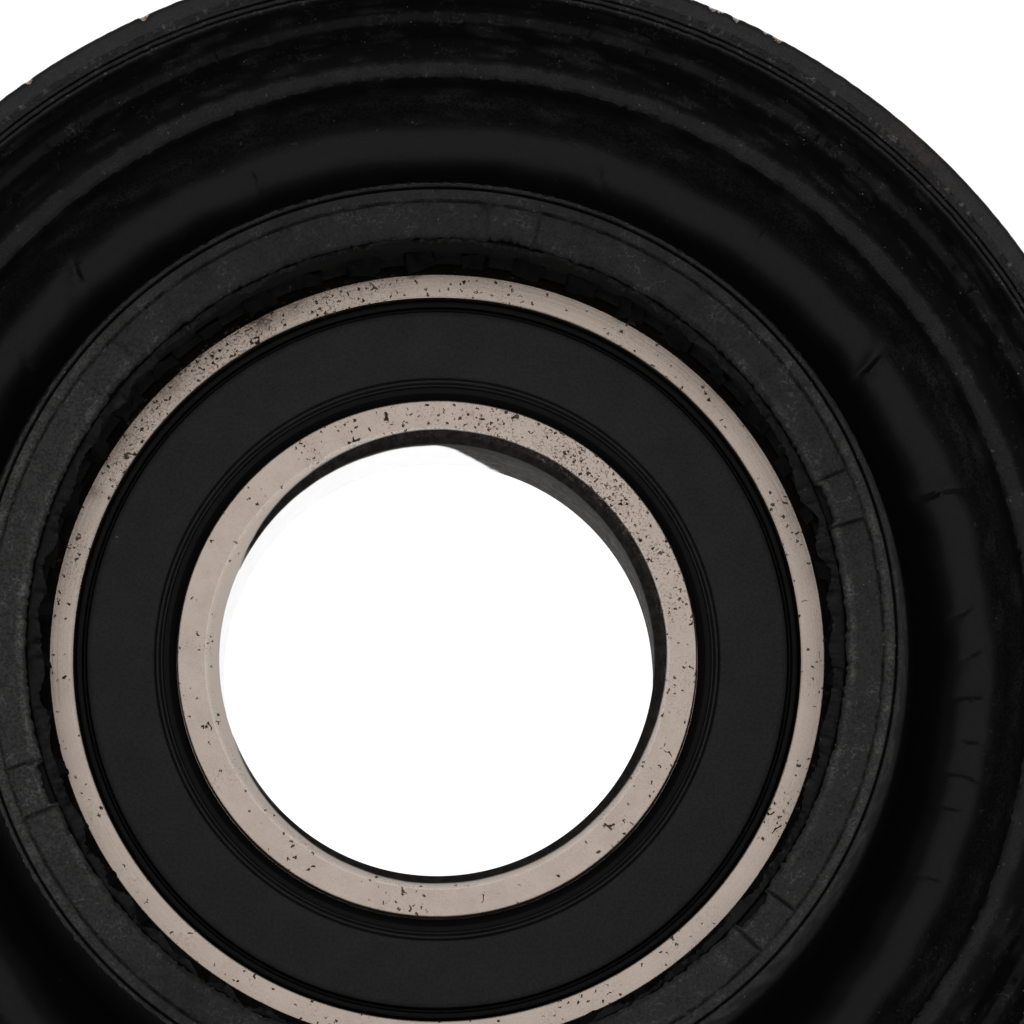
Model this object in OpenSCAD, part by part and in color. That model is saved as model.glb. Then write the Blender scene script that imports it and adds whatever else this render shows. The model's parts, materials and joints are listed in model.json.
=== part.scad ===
// Driveshaft centre bearing: a sealed deep-groove ball bearing held in a moulded rubber cushion,
// which is bonded into a drawn sheet-steel shell.
// The bearing's centre is the origin, and the front of the bearing faces +Z.

/* [Bearing] */
// Bore of the inner ring, the diameter of the shaft
bore_d = 30; // [28:0.5:31]
// Outside diameter of the outer ring
bearing_d = 55; // [54:0.5:57]
// Width of both rings
bearing_w = 13; // [12.5:0.5:16]
// Corner radius of both rings
ring_corner = 1; // [0.6:0.1:1.2]
// Ball diameter as a share of the height from the bore to the outside
ball_share = 0.5715; // [0.54:0.0005:0.6]
// Number of balls
ball_count = 11; // [9:1:11]
// Radius of the ball grooves beyond the ball's own radius
groove_ease = 0.11; // [0.05:0.01:0.2]
// Height of the groove shoulders as a share of the ball's diameter
shoulder_share = 0.196; // [0.16:0.002:0.22]

/* [Seals] */
// Thickness of each seal's web
seal_t = 1.25; // [1:0.05:1.3]
// How far the seals lie below the ring faces
seal_recess = 0.35; // [0.2:0.05:0.45]
// Step from the inner ring's shoulder down to the land that the seal lip runs on
land_drop = 1.1; // [0.9:0.05:1.3]
// Step from the outer ring's shoulder out to the mouth of the seal seat
seat_step = 1.63; // [1.4:0.01:1.8]
// Depth of the snap groove that the seal's rim sits in
snap_d = 0.4; // [0.2:0.05:0.5]
// Width of the snap groove
snap_w = 0.8; // [0.6:0.05:0.9]

/* [Cage] */
// Thickness of the pressed cage halves
cage_t = 0.8; // [0.6:0.05:0.9]
// Width of the cage ribbon as a share of the ball's diameter
cage_share = 0.42; // [0.36:0.01:0.46]
// Shank diameter of the cage rivets
rivet_d = 1.2; // [1:0.1:1.4]
// Head diameter of the cage rivets
rivet_head_d = 2; // [1.8:0.1:2.2]
// Height of each rivet head
rivet_head_h = 0.4; // [0.3:0.05:0.6]

/* [Cushion hub] */
// Height of the lip in front of the bearing
lip_h = 9.2; // [7:0.2:11]
// Step from the bearing's outside out to the lip's inner wall
lip_step = 0.5; // [0.3:0.05:0.7]
// Width of the lip's front face
lip_w = 3.9; // [3.4:0.1:4.4]
// How much wider the hub is at the channel floor than at the lip
lip_draft = 1.55; // [1:0.05:2]
// Width of the fine ring line round the lip's face
line_w = 0.55; // [0.4:0.05:0.7]
// Depth of the fine ring line
line_d = 0.35; // [0.2:0.05:0.5]
// Width of the narrow ridge outside the ring line
ridge_w = 0.95; // [0.7:0.05:1.2]
// Number of retaining teeth in front of the bearing
tooth_count = 45; // [36:1:48]
// Width of each tooth
tooth_w = 1.9; // [1.4:0.1:2.2]
// How far each tooth stands in from the lip's inner wall
tooth_h = 1; // [0.7:0.05:1.2]
// Length of each tooth along the axis
tooth_l = 1.7; // [1.2:0.1:2.4]
// Angle of the first tooth
tooth_angle = 4.8; // [0:0.1:8]
// Number of vent grooves in the lip's inner wall
vent_count = 6; // [4:1:8]
// Width of each vent groove
vent_w = 2.9; // [2:0.1:4]
// Depth of each vent groove
vent_d = 0.45; // [0.2:0.05:0.7]
// Angle of the first vent groove
vent_angle = 19.8; // [0:0.1:60]
// How far the rear stop reaches in over the outer ring
stop_w = 1.7; // [1.2:0.1:1.9]
// Thickness of the rear stop
stop_t = 3.4; // [2.6:0.1:4]
// Step from the channel foot in to the rear end of the hub
hub_step = 0.6; // [0.2:0.1:1.2]

/* [Cushion web] */
// Depth of the channel floor below the bearing's front face
floor_drop = 10.2; // [9:0.1:10.8]
// Thickness of the web under and beside the channel
web_t = 3; // [2.6:0.1:3.4]
// Width of the matte land beside the channel
land_w = 1.4; // [1:0.1:1.8]
// Width of the trough outside the land
trough_w = 2.6; // [2:0.1:2.8]
// Depth of the trough
trough_d = 1.3; // [0.8:0.1:1.6]
// Width of the bead outside the trough
bead_w = 0.7; // [0.5:0.05:1]
// Width of the gutter outside the bead
gutter_w = 1.2; // [0.8:0.05:1.4]
// Depth of the gutter
gutter_d = 1; // [0.6:0.1:1.4]
// Width of the rim band beside the shell
rim_w = 1.6; // [1.3:0.05:1.9]
// Width of the thin ridge on the inner side of the rim band
rim_ridge_w = 0.4; // [0.3:0.05:0.5]
// Thickness of the skirt that lines the shell
skirt_t = 1.6; // [1.3:0.1:1.9]
// Thickness of the cushion's collar above the rear groove
collar_t = 3.2; // [2.8:0.1:4]

/* [Shell] */
// Outside diameter of the shell
shell_d = 100; // [98:0.5:102]
// Thickness of the sheet steel
shell_t = 1.4; // [1.2:0.1:1.6]
// Length of the shell
shell_h = 20; // [18:0.5:24]
// How far the front edge lies behind the bearing's front face
rim_drop = 4; // [3:0.25:5]
// Width of the flange turned in at the rear, from the shell's outside
flange_w = 4; // [3.4:0.1:5]
// Outside radius of the bend at the rear
bend_r = 2.2; // [1.8:0.1:3]

/* [Fits] */
// Gap at bonded and pressed faces
bond_gap = 0.02; // [0.01:0.01:0.04]
// Running gap between a ball and its groove
race_gap = 0.03; // [0.02:0.01:0.06]
// Running gap between a ball and its cage pocket
pocket_gap = 0.1; // [0.05:0.01:0.15]
// Gap between the cage pockets and the seals
seal_gap = 0.3; // [0.2:0.05:0.4]
// Running gap between a seal lip and its land
lip_gap = 0.06; // [0.03:0.01:0.1]
// Gap between the retaining teeth and the outer ring
tooth_gap = 0.1; // [0.05:0.05:0.3]

/* [Hidden] */
$fn = 120;

BALLS = [for (i = [1:ball_count]) str("ball_", i < 10 ? "0" : "", i)];

// Finishes
paint_black = [0.13, 0.13, 0.13];
rubber_black = [0.08, 0.08, 0.08];
seal_grey = [0.14, 0.14, 0.14];
ring_steel = [0.69, 0.63, 0.58];
cage_steel = [0.6, 0.6, 0.6];
ball_steel = [0.8, 0.8, 0.82];

// Edge radii that the parts share
crisp = 0.1;
soft = 0.3;
round_edge = 0.5;

// Bearing
bore_r = bore_d / 2;
bearing_r = bearing_d / 2;
face_z = bearing_w / 2;
seal_front_z = face_z - seal_recess;
seal_back_z = seal_front_z - seal_t;
pitch_r = (bore_r + bearing_r) / 2;
// The ball, no larger than the room between the seals allows
ball_r = min(
    (bearing_r - bore_r) * ball_share / 2,
    seal_back_z - seal_gap - cage_t - pocket_gap
);
shoulder_h = 2 * ball_r * shoulder_share;
ball_step = 360 / ball_count;
groove_r = ball_r + groove_ease;
inner_groove_r = pitch_r - ball_r - race_gap;
outer_groove_r = pitch_r + ball_r + race_gap;
inner_shoulder_r = inner_groove_r + shoulder_h;
outer_shoulder_r = outer_groove_r - shoulder_h;

// Seals
seal_land_r = inner_shoulder_r - land_drop;
seat_r = outer_shoulder_r + seat_step;
snap_r = seat_r + snap_d;
seal_lip_r = seal_land_r + lip_gap;
seal_rim_r = snap_r - bond_gap;
snap_back_z = seal_back_z - soft;
snap_front_z = snap_back_z + snap_w;

// Cage
cage_w = 2 * ball_r * cage_share;
cage_in_r = pitch_r - cage_w / 2;
cage_out_r = pitch_r + cage_w / 2;
pocket_r = ball_r + pocket_gap;
pocket_out_r = pocket_r + cage_t;
rivet_hole_r = rivet_d / 2 + bond_gap;

// Shell
shell_r = shell_d / 2;
shell_in_r = shell_r - shell_t;
rim_z = face_z - rim_drop;
rear_z = rim_z - shell_h;
flange_in_r = shell_r - flange_w;

// Cushion, from the shell inwards
skin_r = shell_in_r - bond_gap;
rim_r = skin_r - rim_w;
bead_out_r = rim_r - gutter_w;
bead_in_r = bead_out_r - bead_w;
land_out_r = bead_in_r - trough_w;
land_in_r = land_out_r - land_w;
skirt_r = skin_r - skirt_t;
skirt_z = rear_z + shell_t + bond_gap;

// Cushion, from the bearing outwards
hold_r = bearing_r + bond_gap;
lip_in_r = bearing_r + lip_step;
lip_out_r = lip_in_r + lip_w;
foot_r = lip_out_r + lip_draft;
hub_r = foot_r - hub_step;
stop_r = bearing_r - stop_w;
stop_z = -face_z - bond_gap;
hub_z = stop_z - stop_t;
lip_z = face_z + lip_h;
floor_z = face_z - floor_drop;
channel_r = (land_in_r - foot_r) / 2;
web_r = land_in_r + web_t;
web_z = floor_z - web_t;
rear_groove_r = (skirt_r - web_r) / 2;
rear_groove_z = rim_z - collar_t;

// Reach of a cutter past the face that it cuts
past = 1;

function unit(v) = v / norm(v);

function arc(centre, r, from, turn, steps) =
    [for (i = [0:steps]) let (a = from + turn * i / steps) centre + r * [cos(a), sin(a)]];

// One corner of an outline, at b between a and c: b is [radius, height, corner radius]
function rounded_corner(a, b, c, steps) =
    let (
        at = [b[0], b[1]],
        to_a = [a[0], a[1]] - at,
        to_c = [c[0], c[1]] - at,
        u = unit(to_a),
        v = unit(to_c),
        half = acos(max(-1, min(1, u * v))) / 2,
        reach = min(b[2] / tan(half), norm(to_a) / 2, norm(to_c) / 2),
        r = reach * tan(half),
        centre = at + unit(u + v) * r / sin(half),
        first = at + u * reach - centre,
        last = at + v * reach - centre,
        from = atan2(first[1], first[0]),
        swing = atan2(last[1], last[0]) - from,
        turn = swing > 180 ? swing - 360 : swing < -180 ? swing + 360 : swing
    )
    arc(centre, r, from, turn, steps);

// The outline through corners, each with its own radius, and 0 for a sharp one
function outline(corners, steps = 5) =
    let (n = len(corners))
    [
        for (i = [0:n - 1])
            let (b = corners[i])
            each b[2] == 0
                ? [[b[0], b[1]]]
                : rounded_corner(corners[(i + n - 1) % n], b, corners[(i + 1) % n], steps)
    ];

module turned(corners) {
    rotate_extrude() polygon(outline(corners));
}

module tube(out_r, in_r, low, high) {
    translate([0, 0, low])
        difference() {
            cylinder(r = out_r, h = high - low);
            translate([0, 0, -past]) cylinder(r = in_r, h = high - low + 2 * past);
        }
}

module on_ball(i) {
    rotate(i * ball_step) translate([pitch_r, 0, 0]) children();
}

module outer_shell() {
    color(paint_black)
        turned([
            [shell_in_r, rim_z, crisp],
            [shell_r, rim_z, crisp],
            [shell_r, rear_z, bend_r],
            [flange_in_r, rear_z, soft],
            [flange_in_r, rear_z + shell_t, soft],
            [shell_in_r, rear_z + shell_t, bend_r - shell_t]
        ]);
}

// The cushion's section: over the front from the lip to the shell, then back along the rear
function cushion_section() = [
    [lip_in_r, lip_z, round_edge],
    [lip_out_r - ridge_w - line_w, lip_z, crisp],
    [lip_out_r - ridge_w - line_w / 2, lip_z - line_d, crisp],
    [lip_out_r - ridge_w, lip_z, crisp],
    [lip_out_r, lip_z, soft],
    [foot_r, floor_z, channel_r],
    [land_in_r, floor_z, channel_r],
    [land_in_r, rim_z, soft],
    [land_out_r, rim_z, crisp],
    [land_out_r + trough_w / 2, rim_z - trough_d, round_edge],
    [bead_in_r, rim_z, crisp],
    [bead_out_r, rim_z, crisp],
    [bead_out_r + gutter_w / 2, rim_z - gutter_d, soft],
    [rim_r, rim_z, crisp],
    [rim_r + rim_ridge_w, rim_z, crisp],
    [rim_r + rim_ridge_w + line_w / 2, rim_z - line_d, crisp],
    [rim_r + rim_ridge_w + line_w, rim_z, crisp],
    [skin_r, rim_z, crisp],
    [skin_r, skirt_z, bend_r - shell_t + bond_gap],
    [skirt_r, skirt_z, round_edge],
    [skirt_r, rear_groove_z, rear_groove_r],
    [web_r, rear_groove_z, rear_groove_r],
    [web_r, web_z, channel_r],
    [hub_r, web_z, web_t / 2],
    [hub_r, hub_z, round_edge],
    [stop_r, hub_z, round_edge],
    [stop_r, stop_z, crisp],
    [hold_r, stop_z, ring_corner / 2],
    [hold_r, face_z, 0],
    [lip_in_r, face_z, 0]
];

module retaining_teeth() {
    low = face_z + tooth_gap;
    intersection() {
        tube(lip_in_r + lip_w / 2, lip_in_r - tooth_h, low, low + tooth_l);
        for (i = [0:tooth_count - 1])
            rotate(tooth_angle + i * 360 / tooth_count)
                translate([lip_in_r - tooth_h - past, -tooth_w / 2, low - past])
                    cube([tooth_h + past + lip_w, tooth_w, tooth_l + 2 * past]);
    }
}

module vent_grooves() {
    low = face_z + tooth_gap + tooth_l;
    for (i = [0:vent_count - 1])
        rotate(vent_angle + i * 360 / vent_count)
            translate([bearing_r - past, -vent_w / 2, low])
                cube([lip_step + vent_d + past, vent_w, lip_z + past - low]);
}

module rubber_cushion() {
    color(rubber_black)
        difference() {
            union() {
                turned(cushion_section());
                retaining_teeth();
            }
            vent_grooves();
        }
}

module outer_ring() {
    color(ring_steel)
        rotate_extrude()
            difference() {
                polygon(outline([
                    [seat_r, face_z, crisp],
                    [bearing_r, face_z, ring_corner],
                    [bearing_r, -face_z, ring_corner],
                    [seat_r, -face_z, crisp],
                    [seat_r, -snap_front_z, 0],
                    [snap_r, -snap_front_z, 0],
                    [snap_r, -snap_back_z, 0],
                    [outer_shoulder_r, -snap_back_z, crisp],
                    [outer_shoulder_r, snap_back_z, crisp],
                    [snap_r, snap_back_z, 0],
                    [snap_r, snap_front_z, 0],
                    [seat_r, snap_front_z, 0]
                ]));
                translate([outer_groove_r - groove_r, 0]) circle(r = groove_r);
            }
}

module inner_ring() {
    shoulder_z = snap_back_z;
    color(ring_steel)
        rotate_extrude()
            difference() {
                polygon(outline([
                    [bore_r, face_z, ring_corner],
                    [seal_land_r, face_z, soft],
                    [seal_land_r, shoulder_z, 0],
                    [inner_shoulder_r, shoulder_z, crisp],
                    [inner_shoulder_r, -shoulder_z, crisp],
                    [seal_land_r, -shoulder_z, 0],
                    [seal_land_r, -face_z, soft],
                    [bore_r, -face_z, ring_corner]
                ]));
                translate([inner_groove_r + groove_r, 0]) circle(r = groove_r);
            }
}

// A seal with its outside up: a snap rim, a flat web with two ring lines, and a thin lip
module seal() {
    web_in_r = inner_shoulder_r + soft;
    web_out_r = seat_r - 2 * round_edge;
    rim_back_z = snap_back_z + bond_gap;
    rim_front_z = snap_front_z - bond_gap;
    lip_front_z = seal_front_z - round_edge;
    lip_back_z = lip_front_z - soft;
    color(seal_grey)
        turned([
            [seal_lip_r, lip_front_z, 0],
            [web_in_r - round_edge, seal_front_z - soft, crisp],
            [web_in_r - soft, seal_front_z, crisp],
            [web_in_r - soft / 2, seal_front_z - soft / 2, 0],
            [web_in_r, seal_front_z, crisp],
            [web_out_r, seal_front_z, crisp],
            [web_out_r + soft / 2, seal_front_z - soft, crisp],
            [seat_r - soft, rim_front_z + soft, crisp],
            [seat_r - bond_gap, rim_front_z, 0],
            [seal_rim_r, rim_front_z, crisp],
            [seal_rim_r, rim_back_z, crisp],
            [seat_r - round_edge, rim_back_z, crisp],
            [web_out_r, seal_back_z, crisp],
            [web_in_r, seal_back_z, crisp],
            [seal_lip_r, lip_back_z, 0]
        ]);
}

module seal_front() {
    seal();
}

module seal_rear() {
    rotate([180, 0, 0]) seal();
}

// Half of the cage, with flat webs on the middle plane and a spherical pocket round each ball
module cage_half() {
    color(cage_steel)
        difference() {
            intersection() {
                tube(cage_out_r, cage_in_r, 0, pocket_out_r + past);
                union() {
                    cylinder(r = cage_out_r + past, h = cage_t);
                    for (i = [0:ball_count - 1]) on_ball(i) sphere(r = pocket_out_r);
                }
            }
            for (i = [0:ball_count - 1]) {
                on_ball(i) sphere(r = pocket_r);
                on_ball(i + 0.5) translate([0, 0, -past]) cylinder(r = rivet_hole_r, h = cage_t + 2 * past);
            }
        }
}

module cage_front() {
    cage_half();
}

module cage_rear() {
    rotate([180, 0, 0]) cage_half();
}

module cage_rivets() {
    tip_z = cage_t + rivet_head_h;
    head_r = rivet_head_d / 2;
    color(cage_steel)
        for (i = [0:ball_count - 1])
            on_ball(i + 0.5)
                turned([
                    [0, tip_z, 0],
                    [head_r, tip_z, rivet_head_h / 2],
                    [head_r, cage_t, 0],
                    [rivet_d / 2, cage_t, 0],
                    [rivet_d / 2, -cage_t, 0],
                    [head_r, -cage_t, 0],
                    [head_r, -tip_z, rivet_head_h / 2],
                    [0, -tip_z, 0]
                ]);
}

module ball(i) {
    color(ball_steel) on_ball(i) sphere(r = ball_r);
}

outer_shell();
rubber_cushion();
outer_ring();
inner_ring();
seal_front();
seal_rear();
cage_front();
cage_rear();
cage_rivets();
for (i = [0:ball_count - 1]) ball(i);
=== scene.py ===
"""Looks of the driveshaft centre bearing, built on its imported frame.

Lengths are written in millimetres and become metres where a mesh is made. The lights' places are in metres.
The bore's axis is Z, and the front of the bearing faces +Z.
"""

import json
import math

import bmesh
import bpy
import numpy as np
from mathutils import Matrix, Vector


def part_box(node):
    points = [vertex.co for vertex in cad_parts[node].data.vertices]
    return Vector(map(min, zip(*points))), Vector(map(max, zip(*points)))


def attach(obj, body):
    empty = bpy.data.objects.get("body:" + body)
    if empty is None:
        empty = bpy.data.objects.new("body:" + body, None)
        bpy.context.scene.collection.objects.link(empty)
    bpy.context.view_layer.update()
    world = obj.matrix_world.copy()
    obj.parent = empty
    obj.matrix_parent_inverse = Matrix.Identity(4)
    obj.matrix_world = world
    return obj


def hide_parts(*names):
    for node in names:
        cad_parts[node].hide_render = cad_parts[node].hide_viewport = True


MM = 0.001
TAU = 2 * math.pi

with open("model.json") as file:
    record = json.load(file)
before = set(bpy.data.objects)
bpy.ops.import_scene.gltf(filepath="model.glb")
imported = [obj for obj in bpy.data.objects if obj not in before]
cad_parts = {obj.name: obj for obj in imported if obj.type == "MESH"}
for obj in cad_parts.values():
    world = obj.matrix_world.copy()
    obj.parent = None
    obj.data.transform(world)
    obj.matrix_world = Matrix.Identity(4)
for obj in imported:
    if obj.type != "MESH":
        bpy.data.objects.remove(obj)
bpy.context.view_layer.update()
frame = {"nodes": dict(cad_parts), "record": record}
scene = bpy.context.scene


def reach(node):
    """Outside radius, lowest and highest level of a turned node, in millimetres."""
    low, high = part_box(node)
    return high.x / MM, low.z / MM, high.z / MM


# Sizes from the frame
SHELL_R, REAR_Z, RIM_Z = reach("outer_shell")
SKIN_R, SKIRT_Z, LIP_Z = reach("rubber_cushion")
BEARING_R, _, FACE_Z = reach("outer_ring")
INNER_SHOULDER_R = reach("inner_ring")[0]
SEAL_RIM_R, SNAP_BACK_Z, SEAL_FRONT_Z = reach("seal_front")

# Sizes that the frame's boxes don't show, as in the solids
BOND_GAP = 0.02
SHELL_T = 1.4
FLANGE_W = 4.0
BEND_R = 2.2
BORE_R = 15.0
RING_CORNER = 1.0
GROOVE_R = 3.682
PITCH_R = (BORE_R + BEARING_R) / 2
BALL_R = 3.572
RACE_GAP = 0.03
SEAT_R = SEAL_RIM_R - 0.38
SEAL_LAND_R = INNER_SHOULDER_R - 1.1
SEAL_LIP_R = SEAL_LAND_R + 0.06
OUTER_SHOULDER_R = SEAT_R - 1.63
WEB_IN_R = INNER_SHOULDER_R + 0.3
WEB_OUT_R = SEAT_R - 0.92
SNAP_FRONT_Z = SNAP_BACK_Z + 0.76

# Edges of the rings, a little flatter than the round corners of the solids
CHAMFER = 0.78
BORE_CHAMFER = 0.85
BORE_ROUNDING = 0.45

# Cushion, from the shell inwards
RIM_R = SKIN_R - 1.6
RIM_EDGE_R = RIM_R + 0.42
BEAD_OUT_R = RIM_R - 1.2
BEAD_IN_R = BEAD_OUT_R - 0.7
LAND_OUT_R = BEAD_IN_R - 2.6
LAND_IN_R = LAND_OUT_R - 1.4
LAND_EDGE_R = LAND_OUT_R - 0.2
SKIRT_R = SKIN_R - 1.6

# Cushion, from the bearing outwards
HOLD_R = BEARING_R + BOND_GAP
LIP_IN_R = BEARING_R + 0.5
LIP_OUT_R = LIP_IN_R + 3.9
LIP_EDGE_R = LIP_OUT_R - 0.2
FOOT_R = LIP_OUT_R + 1.55
HUB_R = FOOT_R - 0.6
STOP_R = BEARING_R - 1.7
STOP_Z = -FACE_Z - BOND_GAP
HUB_Z = STOP_Z - 3.4
FLOOR_Z = FACE_Z - 10.2
CHANNEL_R = (LAND_IN_R - FOOT_R) / 2
WEB_T = 3.0
WEB_R = LAND_IN_R + WEB_T
WEB_Z = FLOOR_Z - WEB_T
REAR_GROOVE_Z = RIM_Z - 3.2
REAR_GROOVE_R = (SKIRT_R - WEB_R) / 2

# Vents in the lip, each between two fine seams
VENT_COUNT = 6
VENT_ANGLE = math.radians(19.8)
VENT_W = 2.9
VENT_D = 0.45
VENT_LOW_Z = FACE_Z + 1.8
SEAM_ANGLE = math.radians(3.4)
SEAM_W = 0.1
SEAM_D = 0.3

# Retaining teeth in front of the bearing
TOOTH_COUNT = 45
TOOTH_ANGLE = math.radians(4.8)
TOOTH_W = 1.9
TOOTH_H = 1.0
TOOTH_L = 1.7
TOOTH_LOW_Z = FACE_Z + 0.1

# Folds across the channel: angle in degrees, radius of the middle, half length, depth, slant
FOLDS = [
    (35.6, 37.6, 2.0, 0.26, 0.7),
    (19.6, 37.4, 2.2, 0.22, -0.5),
    (6.7, 37.5, 1.3, 0.12, 0.6),
    (1.9, 37.6, 1.5, 0.14, 0.8),
    (-2.8, 37.4, 1.3, 0.14, 0.3),
    (-7.5, 37.3, 1.1, 0.10, -0.2),
    (-11.4, 37.3, 1.2, 0.13, -0.1),
    (-15.0, 37.1, 0.8, 0.09, 0.2),
    (-23.0, 37.2, 1.0, 0.09, 0.3),
    (53.7, 38.6, 0.8, 0.10, 0.2),
    (71.7, 37.0, 0.9, 0.12, 0.6),
    (110.0, 37.0, 1.0, 0.10, 0.0),
    (131.6, 37.6, 1.5, 0.24, -0.93),
    (142.9, 35.7, 1.6, 0.13, -1.6),
    (203.0, 37.3, 1.6, 0.14, 0.4),
    (261.0, 37.5, 1.4, 0.12, -0.4),
    (304.0, 37.3, 1.5, 0.12, 0.3),
]
FOLD_W = 0.09
FOLD_CROOK = 0.12
FOLD_GAIN = 0.8

# Chips in the paint of the shell's front edge: angle and half width in degrees
CHIPS = [(67.0, 0.9), (65.2, 0.4), (62.4, 0.7), (61.5, 0.4), (114.3, 0.7), (125.1, 0.5), (29.0, 0.4)]

# Camera
CAMERA_DISTANCE = 800.0
CAMERA_TILT = math.radians(7.05)
FRAME_W = 70.62
SENSOR_W = 36.0
AIM_RIGHT = 5.17
AIM_UP = 10.07
FAR_END = 20000.0


# Wear: waves round the ring, so that each pattern closes on itself


def ring_waves(seed, low, high, count=24):
    """A random wave round the ring with low to high cycles a turn, about -2 to 2."""
    rng = np.random.default_rng(seed)
    cycles = rng.integers(low, high + 1, count)
    phase = rng.uniform(0, TAU, count)
    return lambda angle: np.cos(np.outer(angle, cycles) + phase).sum(1) * math.sqrt(2 / count)


def surface_waves(seed, low, high, across, count=32):
    """As ring_waves, and it also changes across the section, with up to that many radians a millimetre."""
    rng = np.random.default_rng(seed)
    cycles = rng.integers(low, high + 1, count)
    phase = rng.uniform(0, TAU, count)
    slope = rng.uniform(-across, across, count)

    def at(angle, along):
        return np.cos(np.outer(angle, cycles) + np.outer(along, slope) + phase).sum(1) * math.sqrt(2 / count)

    return at


def near(value, middle, width):
    return np.exp(-(((value - middle) / width) ** 2))


def smooth(value, low, high):
    t = np.clip((value - low) / (high - low), 0, 1)
    return t * t * (3 - 2 * t)


def turn_from(angle, at):
    """Signed angle from at, between minus and plus half a turn."""
    return (angle - at + math.pi) % TAU - math.pi


def at_angle(angle, degrees, half):
    """Share from 0 to 1 about one place on the ring, with its angle and half width in degrees."""
    return near(turn_from(angle, math.radians(degrees)), 0, math.radians(half))


def within(value, low, high):
    return (value > low) * (value < high)


# Turned meshes


# Widest gap between the points of a round corner, and the angle in degrees from which an edge is sharp
ARC_GAP = 0.3
RING_ARC_GAP = 0.06
MOST_ARC_STEPS = 12
SHARP = 40
RING_SHARP = 8


def bend_points(before, here, after, bend, arc_gap):
    """Points of one corner of a section, rounded off with that radius."""
    if bend == 0:
        return [here]
    u = (before - here).normalized()
    v = (after - here).normalized()
    half = u.angle(v) / 2
    cut = min(bend / math.tan(half), (before - here).length / 2, (after - here).length / 2)
    radius = cut * math.tan(half)
    centre = here + (u + v).normalized() * radius / math.sin(half)
    first = here + u * cut - centre
    last = here + v * cut - centre
    start = math.atan2(first.y, first.x)
    swing = turn_from(math.atan2(last.y, last.x), start)
    steps = min(max(2, math.ceil(abs(swing) * radius / arc_gap)), MOST_ARC_STEPS)
    turns = [start + swing * i / steps for i in range(steps + 1)]
    return [centre + radius * Vector((math.cos(t), math.sin(t))) for t in turns]


def section_rings(corners, arc_gap):
    """Rings of a closed section. A corner is radius, height, rounding, widest gap after it, angle stride."""
    places = [Vector(corner[:2]) for corner in corners]
    count = len(corners)
    bends = [
        bend_points(places[i - 1], places[i], places[(i + 1) % count], corners[i][2], arc_gap)
        for i in range(count)
    ]
    points, strides = [], []
    for i, (_, _, _, gap, stride) in enumerate(corners):
        start, end = bends[i][-1], bends[(i + 1) % count][0]
        cuts = max(1, math.ceil((end - start).length / gap))
        stretch = [start.lerp(end, k / cuts) for k in range(1, cuts)]
        points += bends[i] + stretch
        strides += [stride] * (len(bends[i]) + len(stretch))
    for _ in range(2):
        for i in range(len(strides)):
            strides[i] = min(strides[i], 2 * strides[i - 1], 2 * strides[(i + 1) % len(strides)])
    return points, strides


def ring_faces(first, first_count, second, second_count):
    """Faces between two neighbour rings with the same count of points, or twice as many in one of them."""
    if first_count == second_count:
        for j in range(first_count):
            k = (j + 1) % first_count
            yield first + j, first + k, second + k, second + j
        return
    coarse, fine, count = first, second, first_count
    if first_count > second_count:
        coarse, fine, count = second, first, second_count
    for j in range(count):
        here, there = coarse + j, coarse + (j + 1) % count
        left, middle, right = fine + 2 * j, fine + 2 * j + 1, fine + (2 * j + 2) % (2 * count)
        yield here, left, middle
        yield here, middle, there
        yield there, middle, right


def turned(name, corners, angles, wear=None, sharp=SHARP, arc_gap=ARC_GAP):
    """A closed mesh turned about the bore's axis. wear gives new radii, heights and attributes."""
    points, strides = section_rings(corners, arc_gap)
    counts = [len(angles[::stride]) for stride in strides]
    starts = np.concatenate([[0], np.cumsum(counts)])[:-1]
    radius = np.concatenate([np.full(n, p.x) for p, n in zip(points, counts)])
    height = np.concatenate([np.full(n, p.y) for p, n in zip(points, counts)])
    angle = np.concatenate([angles[::stride] for stride in strides])
    marks = {}
    if wear:
        radius, height, marks = wear(radius, height, angle)
    places = np.stack([radius * np.cos(angle), radius * np.sin(angle), height], 1) * MM
    faces = []
    for i in range(len(points)):
        j = (i + 1) % len(points)
        faces += ring_faces(int(starts[i]), counts[i], int(starts[j]), counts[j])
    mesh = bpy.data.meshes.new(name)
    mesh.from_pydata(places.tolist(), [], faces)
    for key, values in marks.items():
        mesh.attributes.new(key, "FLOAT", "POINT").data.foreach_set("value", values.astype(np.float32))
    return finished(name, mesh, sharp)


def finished(name, mesh, sharp):
    """An object with that mesh, its faces outwards and smooth between sharp edges."""
    edit = bmesh.new()
    edit.from_mesh(mesh)
    bmesh.ops.recalc_face_normals(edit, faces=edit.faces)
    edit.to_mesh(mesh)
    edit.free()
    mesh.shade_smooth()
    mesh.set_sharp_from_angle(angle=math.radians(sharp))
    piece = bpy.data.objects.new(name, mesh)
    scene.collection.objects.link(piece)
    return piece


def even_angles(count):
    return np.arange(count) * TAU / count


# Points round the cushion, and the turns of more of them about each fold and seam
CUSHION_ANGLES = 628
FOLD_TURNS = np.radians([-0.5, -0.3, -0.15, 0, 0.15, 0.3, 0.5])
SEAM_TURNS = np.radians([-0.3, -0.15, 0, 0.15, 0.3])


def cushion_angles():
    """Even angles with more of them at the folds and seams, in a count that four divides."""
    folds = [math.radians(fold[0]) + FOLD_TURNS for fold in FOLDS]
    vents = VENT_ANGLE + even_angles(VENT_COUNT)
    seams = [vent + side + SEAM_TURNS for vent in vents for side in (-SEAM_ANGLE, SEAM_ANGLE)]
    extra = np.concatenate(folds + seams) % TAU
    angles = np.unique(np.round(np.concatenate([even_angles(CUSHION_ANGLES), extra]), 5))
    return angles[: len(angles) // 4 * 4]


# Shader and geometry nodes


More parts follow.
